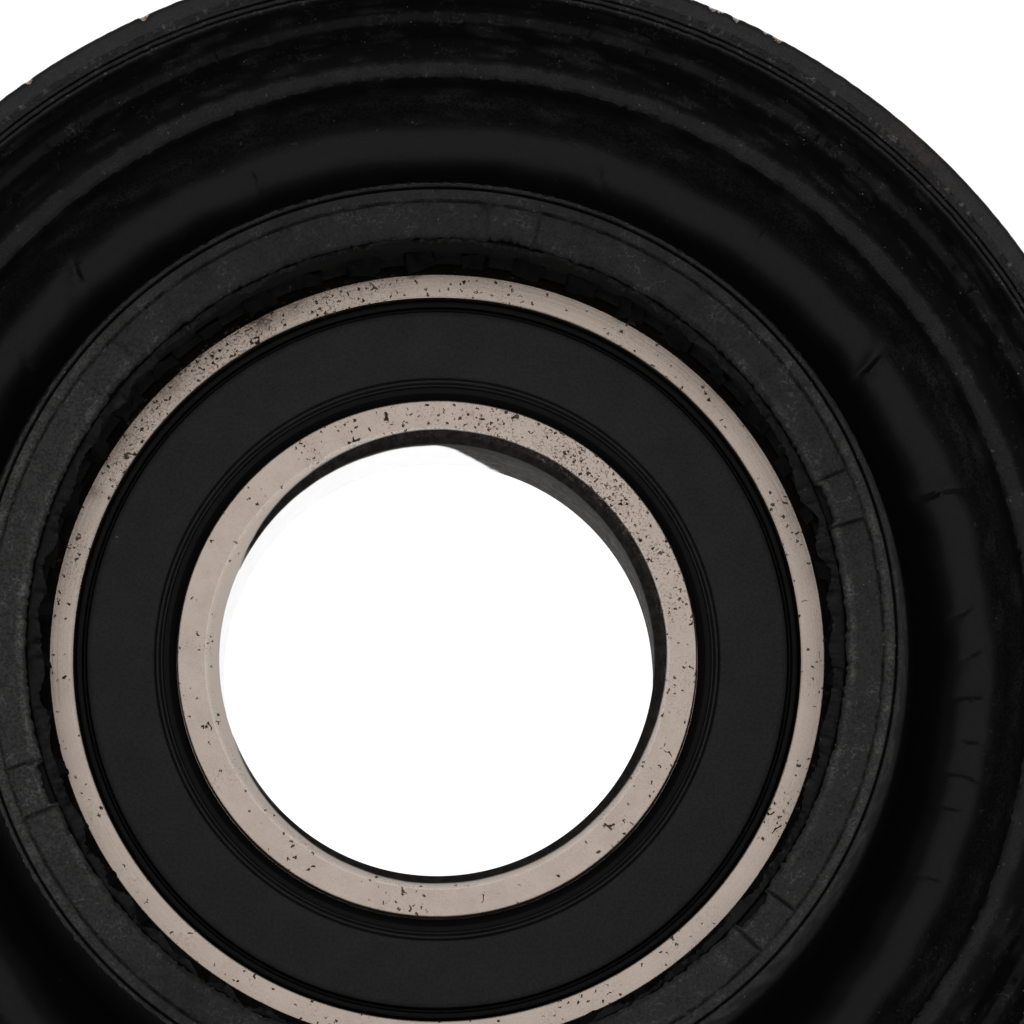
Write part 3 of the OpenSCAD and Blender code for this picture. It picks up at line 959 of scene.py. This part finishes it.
def cushion_marks(radius, height, angle):
    """Shares of wear, dullness, dust and crumbs, each a sum over the places on the cushion that have it.
    Wear, dust and crumbs on the lip also hold painted light.
    """
    streaks = smooth(STREAKS(angle, radius), 0.5, 1.6)
    patches = smooth(PATCHES(angle, radius + height), -0.2, 1.2)
    flat_top = smooth(height, RIM_Z - 0.5, RIM_Z - 0.05) * (height < RIM_Z + 0.1)
    land = flat_top * within(radius, LAND_IN_R - 0.2, LAND_EDGE_R + 0.3)
    bead = flat_top * within(radius, BEAD_IN_R - 0.3, BEAD_OUT_R + 0.3) * (1 - 0.7 * bead_gaps(angle))
    rim = flat_top * (radius > RIM_EDGE_R - 0.2)
    hollow = within(height, RIM_Z - TROUGH_D - 0.2, RIM_Z + 0.1) * (radius > LAND_EDGE_R) * (1 - flat_top)
    in_channel = within(height, FLOOR_Z - 0.1, RIM_Z + 0.1) * (radius < LAND_IN_R + 0.1) * (1 - land)
    outer_side = in_channel * smooth(radius, LAND_IN_R - 3.4, LAND_IN_R - 1.0)
    flank = outer_side * smooth(radius, LAND_IN_R - 1.6, LAND_IN_R - 0.3)
    lip_top = smooth(height, LIP_Z - 0.5, LIP_Z - 0.05)
    edges = near(radius, LIP_IN_R + 0.4, 0.2) + near(radius, LIP_EDGE_R - 0.7, 0.28)
    # The lip's edges are worn, and painted lighter toward the side lights as a highlight
    toward_side_lights = np.cos(angle) ** 4
    rubbed_and_lit = lip_top * np.minimum(edges, 1) * toward_side_lights * (0.35 + 0.65 * patches)
    # The lip's outer wall is scuffed, and painted lighter toward the lower right where light falls
    lit_outer_wall = lip_wall(radius, height) * (1 - lip_top) * smooth(np.cos(angle - WALL_LIT_ANGLE), -0.1, 0.8)
    inside = (radius < LIP_IN_R + 0.2 + VENT_D) * (height > FACE_Z - 0.5) * (1 - lip_top)
    bead_side = 0.1 + 0.9 * smooth(np.cos(angle - BEAD_ANGLE), 0.3, 0.95)
    # Painted light: the lip's top is lighter toward the lower right
    lit_low_right = smooth(np.cos(angle - LIP_LIT_ANGLE), 0, 1)
    left = smooth(-np.cos(angle), 0.5, 1)
    worn = [
        (0.5 + 0.4 * patches) * land,
        (0.05 + 0.35 * patches) * bead_side * bead,
        0.95 * rim,
        (0.78 + 0.3 * patches + 0.25 * lit_low_right) * lip_top,
        0.5 * inside,
        (0.45 + 0.4 * streaks) * outer_side,
        0.6 * streaks * hollow,
        0.9 * lit_outer_wall,
    ]
    dust = [
        0.34 * rubbed_and_lit,
        (0.09 * left + 0.04 * lit_low_right) * lip_top,
        (0.06 + 0.1 * streaks) * flank,
        0.16 * lit_outer_wall * patches * smooth(height, LIP_Z - 6.0, LIP_Z - 2.0),
    ]
    crumbed = [
        (0.26 + 0.22 * toward_side_lights) * lip_top,
        0.7 * rubbed_and_lit,
        0.5 * rim,
        0.2 * bead,
        0.1 * hollow,
        0.05 * land,
    ]
    dull = np.maximum(hollow, inside) + 0.5 * bead
    return {"worn": sum(worn), "dull": dull, "dust": sum(dust), "crumbed": sum(crumbed)}


def cushion_wear(radius, height, angle):
    """Ragged lands and bead, folds in the channel, vents and seams in the lip, and the marks on them all."""
    lumps = LUMPS(angle, radius + 0.7 * height)
    shifts = [shift(radius, height, angle, lumps) for shift in (collar_shift, channel_shift, lip_shift)]
    outward = sum(shift[0] for shift in shifts)
    upward = sum(shift[1] for shift in shifts)
    return radius + outward, height + upward, cushion_marks(radius, height, angle)


cushion_body = fit(
    turned("cushion_body", cushion_corners(), cushion_angles(), cushion_wear),
    "housing",
    "cushion_rubber",
    "rubber_cushion",
)


# Torn rubber: tabs in front of the bearing, the lip's inner edge, the bond to the shell, and crumbs


def new_tree(name, inputs):
    """A Geometry Nodes tree with a mesh in and out, its named inputs, and the nodes that stand for them."""
    tree = bpy.data.node_groups.new(name, "GeometryNodeTree")
    tree.interface.new_socket(name="Mesh", in_out="INPUT", socket_type="NodeSocketGeometry")
    for key, value in inputs.items():
        kind = "NodeSocketInt" if isinstance(value, int) else "NodeSocketFloat"
        tree.interface.new_socket(name=key, in_out="INPUT", socket_type=kind).default_value = value
    tree.interface.new_socket(name="Mesh", in_out="OUTPUT", socket_type="NodeSocketGeometry")
    return tree, put(tree, "NodeGroupInput"), tree.nodes.new("NodeGroupOutput").inputs


def random_value(tree, low, high, seed):
    """A random vector for each point, between two vectors."""
    return put(tree, "FunctionNodeRandomValue", low, high, props={"data_type": "FLOAT_VECTOR"}, Seed=seed)[0]


def lumpy(tree, size, strength):
    """A random offset that changes over lumps of that size, and a random share with it."""
    lumps = noise(put(tree, "GeometryNodeInputPosition")[0], 1.0 / size, Detail=2.0)
    return vector("SCALE", centred(lumps), Scale=strength), lumps[0]


def rotation(turns):
    return put(turns.tree, "FunctionNodeEulerToRotation", turns)[0]


def kept_value(mesh, name, value):
    """The mesh with a value for each of its points, under that name."""
    props = {"data_type": "FLOAT"}
    return put(mesh.tree, "GeometryNodeStoreNamedAttribute", mesh, props=props, Name=name, Value=value)[0]


def in_rubber(mesh):
    return put(mesh.tree, "GeometryNodeSetMaterial", mesh, Material=MATERIALS["cushion_rubber"])[0]


def grown(name, tree, base, sizes):
    """A plain mesh piece that a tree grows from a base mesh."""
    piece = bpy.data.objects.new(name, base)
    scene.collection.objects.link(piece)
    modifier = piece.modifiers.new(name, "NODES")
    modifier.node_group = tree
    for socket in tree.interface.items_tree:
        if socket.in_out == "INPUT" and socket.name in sizes:
            modifier[socket.identifier] = sizes[socket.name]
    mesh = bpy.data.meshes.new_from_object(piece.evaluated_get(bpy.context.evaluated_depsgraph_get()))
    bpy.data.objects.remove(piece)
    return finished(name, mesh, SHARP)


def tabs_tree():
    """Torn tabs in a ring: Width runs round the ring, Depth across it and Length along its axis."""
    inputs = {"Count": 12, "Start": 0.0, "Radius": 0.03, "Level": 0.0, "Width": 0.002, "Depth": 0.001}
    inputs |= {"Length": 0.002, "Lump": 0.001, "Ragged": 0.0004, "Seed": 1}
    tree, given, result = new_tree("torn tabs", inputs)
    ring = put(tree, "GeometryNodeMeshCircle", Vertices=given["Count"], Radius=given["Radius"])[0]
    size = xyz(tree, given["Depth"], given["Width"], given["Length"])
    tab = put(tree, "GeometryNodeMeshCube", size, Vertices_X=5, Vertices_Y=9, Vertices_Z=5)[0]
    turn = put(tree, "GeometryNodeInputIndex")[0] * (TAU / given["Count"])
    lean = random_value(tree, (-0.25, -0.7, -0.3), (0.25, -0.15, 0.3), given["Seed"])
    turn = rotation(vector("ADD", xyz(tree, 0.0, 0.0, turn), lean))
    scale = random_value(tree, (0.5, 0.45, 0.5), (1.1, 1.15, 1.05), given["Seed"])
    tabs = put(tree, "GeometryNodeInstanceOnPoints", Points=ring, Instance=tab, Rotation=turn, Scale=scale)[0]
    place = xyz(tree, 0.0, 0.0, given["Level"])
    spin = rotation(xyz(tree, 0.0, 0.0, given["Start"]))
    tabs = put(tree, "GeometryNodeTransform", tabs, Translation=place, Rotation=spin)[0]
    tabs = put(tree, "GeometryNodeRealizeInstances", tabs)[0]
    offset, share = lumpy(tree, given["Lump"], given["Ragged"])
    tabs = kept_value(tabs, "worn", between(share, 0.4, 0.65, 0.0, 0.13))
    tabs = kept_value(tabs, "dull", 1.0)
    tabs = put(tree, "GeometryNodeSetPosition", tabs, Offset=offset)[0]
    feed(result[0], in_rubber(tabs))
    return tree


def crumbs_tree():
    """Crumbs and dust that lie on a mesh, by the share that its attribute of crumbs gives; on the cushion
    that share also holds painted light on the lip.
    """
    tree, given, result = new_tree("loose crumbs", {"Density": 1.0e6, "Size": 0.0001, "Seed": 1})
    share = put(tree, "GeometryNodeInputNamedAttribute", "crumbed", props={"data_type": "FLOAT"})[0]
    places = {"Density": share * given["Density"], "Seed": given["Seed"]}
    points = put(tree, "GeometryNodeDistributePointsOnFaces", Mesh=given["Mesh"], **places)[0]
    flake = put(tree, "GeometryNodeMeshIcoSphere", Radius=given["Size"], Subdivisions=1)[0]
    turn = rotation(random_value(tree, (0, 0, 0), (TAU, TAU, TAU), given["Seed"]))
    scale = random_value(tree, (0.25, 0.25, 0.1), (1.0, 0.8, 0.5), given["Seed"])
    spread = {"Points": points, "Instance": flake, "Rotation": turn, "Scale": scale}
    flakes = put(tree, "GeometryNodeInstanceOnPoints", **spread)[0]
    flakes = put(tree, "GeometryNodeRealizeInstances", flakes)[0]
    _, pale = lumpy(tree, 0.6 * MM, 0.0)
    flakes = kept_value(flakes, "dust", between(pale, 0.42, 0.68, 0.1, 1.0))
    feed(result[0], in_rubber(flakes))
    return tree


TAB_DEPTH = TOOTH_H + 0.3
retaining_teeth = grown("retaining_teeth", tabs_tree(), bpy.data.meshes.new("tab_base"), {
    "Count": TOOTH_COUNT,
    "Start": TOOTH_ANGLE,
    "Radius": (LIP_IN_R - TOOTH_H + TAB_DEPTH / 2) * MM,
    "Level": (TOOTH_LOW_Z + TOOTH_L / 2 + 0.3) * MM,
    "Width": TOOTH_W * MM,
    "Depth": TAB_DEPTH * MM,
    "Length": TOOTH_L * MM,
    "Lump": 1.0 * MM,
    "Ragged": 1.0 * MM,
    "Seed": 5,
})
fit(retaining_teeth, "housing", "cushion_rubber")

cushion_crumbs = grown(
    "cushion_crumbs", crumbs_tree(), cushion_body.data.copy(), {"Density": 2.4e6, "Size": 0.1 * MM, "Seed": 8}
)
fit(cushion_crumbs, "housing", "cushion_rubber")

TEAR_Z = LIP_Z - 0.8
TEAR_WAVE = ring_waves(41, 4, 60, 40)
TEAR_FINE_WAVE = ring_waves(45, 90, 400, 40)
TEAR_LEVEL_WAVE = ring_waves(42, 10, 200)
FLASH_WAVE = ring_waves(43, 40, 520, 60)
FLASH_LEVEL_WAVE = ring_waves(44, 20, 300, 40)


def torn_edge_corners():
    """A torn ledge just under the lip's inner edge, with a dark line between them."""
    outer_r = LIP_IN_R + 0.7
    line_r = LIP_IN_R + 0.06
    ledge_r = LIP_IN_R - 0.06
    inner_r = LIP_IN_R - 0.5
    return [
        (outer_r, TEAR_Z - 1.0, 0, 0.3, 1),
        (outer_r, TEAR_Z - 0.7, 0, 0.3, 1),
        (line_r, TEAR_Z - 0.7, 0, 0.3, 1),
        (ledge_r, TEAR_Z, 0.08, 0.15, 1),
        (inner_r, TEAR_Z - 0.05, 0.08, 0.2, 1),
        (inner_r, TEAR_Z - 0.4, 0.08, 0.2, 1),
        (line_r, TEAR_Z - 1.0, 0, 0.3, 1),
    ]


def torn_edge_wear(radius, height, angle):
    """The ledge's inner edge, wide at the sides of the lip and torn all round."""
    share = smooth(LIP_IN_R - radius, 0.0, 0.3)
    width = -0.3 + 0.75 * np.cos(angle) ** 2 + 0.17 * TEAR_WAVE(angle) + 0.04 * TEAR_FINE_WAVE(angle)
    width = np.clip(width, -0.45, 0.7)
    worn = 0.3 + 0.25 * smooth(TEAR_LEVEL_WAVE(angle), -1.0, 1.2)
    level = 0.12 * TEAR_LEVEL_WAVE(angle) + 0.03 * TEAR_FINE_WAVE(angle)
    marks = {"worn": worn, "dull": np.full_like(worn, 0.4)}
    return radius - width * share, height + level * share, marks


def bond_flash_corners():
    """A thin ragged line of rubber along the joint with the shell."""
    return [
        (SKIN_R - 0.2, RIM_Z - 0.12, 0, 0.2, 1),
        (SKIN_R - 0.16, RIM_Z + 0.02, 0, 0.2, 1),
        (SKIN_R + 0.16, RIM_Z + 0.02, 0, 0.2, 1),
        (SKIN_R + 0.2, RIM_Z - 0.12, 0, 0.2, 1),
    ]


def bond_flash_wear(radius, height, angle):
    """Ragged line, pale and dusty where it stands out."""
    level = np.clip(0.035 * FLASH_LEVEL_WAVE(angle), -0.08, 0.07)
    pale = smooth(FLASH_WAVE(angle), 0.4, 1.8)
    return radius + 0.06 * FLASH_WAVE(angle), height + level, {"worn": 0.7 + 0.3 * pale, "dust": 0.45 * pale}


torn_edge = turned("torn_edge", torn_edge_corners(), even_angles(1400), torn_edge_wear)
bond_flash = turned("bond_flash", bond_flash_corners(), even_angles(1600), bond_flash_wear)
fit(torn_edge, "housing", "cushion_rubber")
fit(bond_flash, "housing", "cushion_rubber")


# The steel shell


def shell_corners():
    """The shell's section: a drawn ring with its rear edge turned in."""
    inner_r = SHELL_R - SHELL_T
    return [
        (inner_r, RIM_Z, 0.12, 0.25, 1),
        (SHELL_R, RIM_Z, 0.22, 0.3, 1),
        (SHELL_R, RIM_Z - 1.0, 0, 3.0, 2),
        (SHELL_R, REAR_Z, BEND_R, 1.0, 4),
        (SHELL_R - FLANGE_W, REAR_Z, 0.3, 0.8, 4),
        (SHELL_R - FLANGE_W, REAR_Z + SHELL_T, 0.3, 1.0, 4),
        (inner_r, REAR_Z + SHELL_T, BEND_R - SHELL_T, 3.0, 4),
    ]


EDGE_WAVE = ring_waves(31, 60, 420, 40)
CHIP_WAVE = ring_waves(32, 30, 300, 40)

# Rusty place on the front edge: angle and half width in degrees
RUST_ANGLE = 48.0
RUST_HALF = 4.0


def shell_wear(radius, height, angle):
    """Chips along the front outside edge, with bare and rusty marks on them."""
    chipped = np.clip((CHIP_WAVE(angle) - 1.9) / 0.6, 0, 1) * 0.6
    for degrees, width in CHIPS:
        chipped = np.maximum(chipped, at_angle(angle, degrees, width))
    chipped *= np.clip(0.75 + 0.45 * EDGE_WAVE(angle), 0, 1.2)
    at_edge = near(radius, SHELL_R, 0.3) * smooth(height, RIM_Z - 0.6, RIM_Z - 0.1)
    r = radius - 0.05 * chipped * at_edge - 0.008 * (EDGE_WAVE(angle) + 1.5) * at_edge
    z = height - 0.12 * chipped * at_edge
    rust = 0.06 + at_angle(angle, RUST_ANGLE, RUST_HALF)
    rust *= smooth(height, RIM_Z - 1.0, RIM_Z - 0.1)
    return r, z, {"bare": np.clip(chipped * at_edge, 0, 1), "rust": rust}


shell_skin = turned("shell_skin", shell_corners(), even_angles(1440), shell_wear)
fit(shell_skin, "housing", "shell_paint", "outer_shell")


# Bearing rings and seals


# Points round the rings and seals, and steps across a ball groove
RING_ANGLES = even_angles(480)
GROOVE_STEPS = 14

# Stains on the outer ring's face: angle and half width in degrees, strength
STAINS = [
    (97.0, 2.0, 0.4),
    (112.0, 2.4, 0.8),
    (117.4, 2.6, 1.4),
    (134.0, 3.0, 0.9),
    (146.0, 3.0, 0.6),
    (154.0, 1.2, 0.9),
]


def groove_corners(middle_r, first_z, last_z, side):
    """The ball groove, from last_z to first_z: side is 1 for the outer ring and -1 for the inner one."""
    levels = np.linspace(last_z, first_z, GROOVE_STEPS + 1)
    return [(middle_r + side * math.sqrt(GROOVE_R**2 - z * z), z, 0, 1.0, 1) for z in levels]


def outer_ring_corners():
    """The outer ring's section, from its front face round the outside to the groove inside."""
    groove_mid_r = PITCH_R + BALL_R + RACE_GAP - GROOVE_R
    half = math.sqrt(GROOVE_R**2 - (OUTER_SHOULDER_R - groove_mid_r) ** 2)
    front = [
        (SEAT_R, FACE_Z, 0.12, 0.5, 1),
        (BEARING_R - CHAMFER, FACE_Z, 0.1, 0.5, 1),
        (BEARING_R, FACE_Z - CHAMFER, 0.4, 2.0, 1),
        (BEARING_R, CHAMFER - FACE_Z, 0.4, 0.5, 1),
        (BEARING_R - CHAMFER, -FACE_Z, 0.1, 0.5, 1),
        (SEAT_R, -FACE_Z, 0.12, 0.5, 1),
        (SEAT_R, -SNAP_FRONT_Z, 0, 0.5, 1),
        (SEAL_RIM_R + BOND_GAP, -SNAP_FRONT_Z, 0, 0.5, 1),
        (SEAL_RIM_R + BOND_GAP, -SNAP_BACK_Z, 0, 0.5, 1),
        (OUTER_SHOULDER_R, -SNAP_BACK_Z, 0.1, 1.0, 1),
    ]
    back = [
        (OUTER_SHOULDER_R, SNAP_BACK_Z, 0.1, 1.0, 1),
        (SEAL_RIM_R + BOND_GAP, SNAP_BACK_Z, 0, 0.5, 1),
        (SEAL_RIM_R + BOND_GAP, SNAP_FRONT_Z, 0, 0.5, 1),
        (SEAT_R, SNAP_FRONT_Z, 0, 0.5, 1),
    ]
    return front + groove_corners(groove_mid_r, half, -half, 1) + back


def inner_ring_corners():
    """The inner ring's section, from the bore over the front face to the groove, then over the rear face."""
    groove_mid_r = PITCH_R - BALL_R - RACE_GAP + GROOVE_R
    half = math.sqrt(GROOVE_R**2 - (groove_mid_r - INNER_SHOULDER_R) ** 2)
    front = [
        (BORE_R, FACE_Z - BORE_CHAMFER, 0.3, 0.5, 1),
        (BORE_R + BORE_CHAMFER, FACE_Z, BORE_ROUNDING, 0.5, 1),
        (SEAL_LAND_R, FACE_Z, 0.12, 0.8, 1),
        (SEAL_LAND_R, SNAP_BACK_Z, 0, 0.5, 1),
        (INNER_SHOULDER_R, SNAP_BACK_Z, 0.1, 1.0, 1),
    ]
    back = [
        (INNER_SHOULDER_R, -SNAP_BACK_Z, 0.1, 0.5, 1),
        (SEAL_LAND_R, -SNAP_BACK_Z, 0, 0.8, 1),
        (SEAL_LAND_R, -FACE_Z, 0.12, 0.5, 1),
        (BORE_R + BORE_CHAMFER, -FACE_Z, BORE_ROUNDING, 0.5, 1),
        (BORE_R, BORE_CHAMFER - FACE_Z, 0.3, 1.0, 1),
    ]
    return front + groove_corners(groove_mid_r, -half, half, -1) + back


def seal_corners():
    """A seal with its outside up: a snap rim, a flat web with fine ring lines, and a thin lip below it."""
    back_z = SEAL_FRONT_Z - 1.25
    lines = []
    for line_r in (WEB_IN_R - 0.2, WEB_IN_R + 0.12):
        lines += [
            (line_r - 0.09, SEAL_FRONT_Z, 0.03, 0.2, 1),
            (line_r, SEAL_FRONT_Z - 0.14, 0.03, 0.2, 1),
            (line_r + 0.09, SEAL_FRONT_Z, 0.03, 0.4, 1),
        ]
    return [
        (SEAL_LIP_R, SEAL_FRONT_Z - 0.85, 0, 0.3, 1),
        (WEB_IN_R - 0.82, SEAL_FRONT_Z - 0.4, 0.05, 0.2, 1),
        (WEB_IN_R - 0.46, SEAL_FRONT_Z - 0.32, 0.03, 0.2, 1),
        (WEB_IN_R - 0.4, SEAL_FRONT_Z, 0.06, 0.2, 1),
        *lines,
        (WEB_OUT_R, SEAL_FRONT_Z, 0.06, 0.2, 1),
        (WEB_OUT_R + 0.1, SEAL_FRONT_Z - 0.6, 0.05, 0.3, 1),
        (WEB_OUT_R + 0.26, SEAL_FRONT_Z - 0.6, 0.05, 0.3, 1),
        (WEB_OUT_R + 0.36, SEAL_FRONT_Z - 0.2, 0.08, 0.3, 1),
        (SEAT_R - 0.2, SEAL_FRONT_Z - 0.2, 0.1, 0.3, 1),
        (SEAT_R - 0.14, SNAP_FRONT_Z + 0.1, 0.03, 0.3, 1),
        (SEAT_R - BOND_GAP, SNAP_FRONT_Z, 0, 0.4, 1),
        (SEAL_RIM_R, SNAP_FRONT_Z, 0.1, 0.4, 1),
        (SEAL_RIM_R, SNAP_BACK_Z, 0.1, 0.4, 1),
        (SEAT_R - 0.5, SNAP_BACK_Z, 0.1, 0.4, 1),
        (WEB_OUT_R, back_z, 0.1, 1.5, 1),
        (WEB_IN_R, back_z, 0.1, 0.6, 1),
        (SEAL_LIP_R, SEAL_FRONT_Z - 1.2, 0, 0.3, 1),
    ]


def other_side_up(piece):
    """The piece turned over, for the rear."""
    piece.data.transform(Matrix.Rotation(math.pi, 4, "X"))
    return piece


def pitting(middle, half, seed):
    """Wear of a ring: pits crowd about one angle in degrees, and lie in loose patches elsewhere."""
    patches = ring_waves(seed, 3, 40)

    def wear(radius, height, angle):
        crowded = at_angle(angle, middle, half)
        pitted = np.clip(0.19 + 0.75 * crowded + 0.13 * patches(angle), 0.06, 1)
        stained = sum(share * at_angle(angle, degrees, width) for degrees, width, share in STAINS)
        stained = stained * smooth(radius, SEAT_R, BEARING_R - CHAMFER)
        return radius, height, {"pitted": pitted, "stained": stained}

    return wear


outer_wear = pitting(middle=126, half=32, seed=51)
outer_race = turned("outer_race", outer_ring_corners(), RING_ANGLES, outer_wear, RING_SHARP, RING_ARC_GAP)
fit(outer_race, "housing", "ring_steel", "outer_ring")

inner_wear = pitting(middle=48, half=40, seed=52)
inner_race = turned("inner_race", inner_ring_corners(), RING_ANGLES, inner_wear, RING_SHARP, RING_ARC_GAP)
fit(inner_race, "inner_ring", "ring_steel", "inner_ring")

front_seal = turned("front_seal", seal_corners(), RING_ANGLES)
fit(front_seal, "housing", "seal_rubber", "seal_front")

rear_seal = other_side_up(turned("rear_seal", seal_corners(), RING_ANGLES))
fit(rear_seal, "housing", "seal_rubber", "seal_rear")

# The hidden cage and balls keep their solids' shape
for subpart in frame["record"]["subparts"]:
    if subpart["material_slot"] in ("cage_steel", "ball_steel"):
        kept = frame["nodes"][subpart["node"]].data.materials
        kept.clear()
        kept.append(MATERIALS[subpart["material_slot"]])


# Floor, light and camera


FLOOR_HALF = 4000.0
FLOOR_GAP = 0.02
WORLD_LEVEL = 0.25

# Round lights that aim at the bearing: place and width in metres, brightness per area
LIGHTS = {
    "overhead_light": ((0.0, 0.117, 0.95), 0.7, 1.2),
    "left_light": ((-0.82, 0.0, 0.57), 0.45, 1.5),
    "right_light": ((0.82, 0.0, 0.57), 0.45, 1.5),
    "front_light": ((0.1, -0.85, 0.6), 0.5, 1.7),
}


def floor_material():
    """Pale floor that is near white to the camera and in reflections, and keeps a soft shadow."""
    made = bpy.data.materials.new("pale_floor")
    tree = emptied(made)
    path = put(tree, "ShaderNodeLightPath")
    seen = most(most(path["Is Camera Ray"], path["Is Glossy Ray"]), path["Is Transmission Ray"])
    glow = put(tree, "ShaderNodeEmission", Color=grey(1.0), Strength=seen)
    matte = put(tree, "ShaderNodeBsdfDiffuse", Color=grey(0.4))
    both = put(tree, "ShaderNodeAddShader", matte[0], glow[0])
    put(tree, "ShaderNodeOutputMaterial", both[0])
    return made


def build_floor():
    """A wide floor just under the part, for its shadow."""
    half = FLOOR_HALF * MM
    level = (REAR_Z - FLOOR_GAP) * MM
    mesh = bpy.data.meshes.new("floor")
    corners = [(-half, -half, level), (half, -half, level), (half, half, level), (-half, half, level)]
    mesh.from_pydata(corners, [], [(0, 1, 2, 3)])
    mesh.materials.append(floor_material())
    floor = bpy.data.objects.new("floor", mesh)
    scene.collection.objects.link(floor)


def build_world():
    """Even light from all sides, white to the camera."""
    scene.world = bpy.data.worlds.new("studio")
    tree = emptied(scene.world)
    level = put(tree, "ShaderNodeLightPath")["Is Camera Ray"] * (1 - WORLD_LEVEL) + WORLD_LEVEL
    sky = put(tree, "ShaderNodeBackground", Color=grey(1.0), Strength=level)
    put(tree, "ShaderNodeOutputWorld", sky[0])


def build_light(name, place, width, brightness):
    """A round area light that the camera doesn't see."""
    lamp = bpy.data.lights.new(name, "AREA")
    lamp.shape = "DISK"
    lamp.size = width
    lamp.energy = brightness * math.pi * math.pi * (width / 2) ** 2
    light = bpy.data.objects.new(name, lamp)
    light.location = place
    light.rotation_euler = (-Vector(place)).to_track_quat("-Z", "Y").to_euler()
    light.visible_camera = False
    scene.collection.objects.link(light)


def build_camera():
    """A long lens above the front face, tilted a little, with its aim off the bore's axis."""
    toward = Vector((0, -math.sin(CAMERA_TILT), math.cos(CAMERA_TILT)))
    right = Vector((1, 0, 0))
    up = Vector((0, math.cos(CAMERA_TILT), math.sin(CAMERA_TILT)))
    target = Vector((0, 0, FACE_Z)) + right * AIM_RIGHT + up * AIM_UP
    data = bpy.data.cameras.new("camera")
    data.sensor_width = SENSOR_W
    data.lens = SENSOR_W * CAMERA_DISTANCE / FRAME_W
    data.clip_end = FAR_END * MM
    camera = bpy.data.objects.new("camera", data)
    place = Matrix.Translation((target + toward * CAMERA_DISTANCE) * MM)
    camera.matrix_world = place @ Matrix((right, up, toward)).transposed().to_4x4()
    scene.collection.objects.link(camera)
    scene.camera = camera


build_floor()
build_world()
for light_name, (light_place, light_width, light_level) in LIGHTS.items():
    build_light(light_name, light_place, light_width, light_level)
build_camera()
scene.view_settings.view_transform = "Standard"
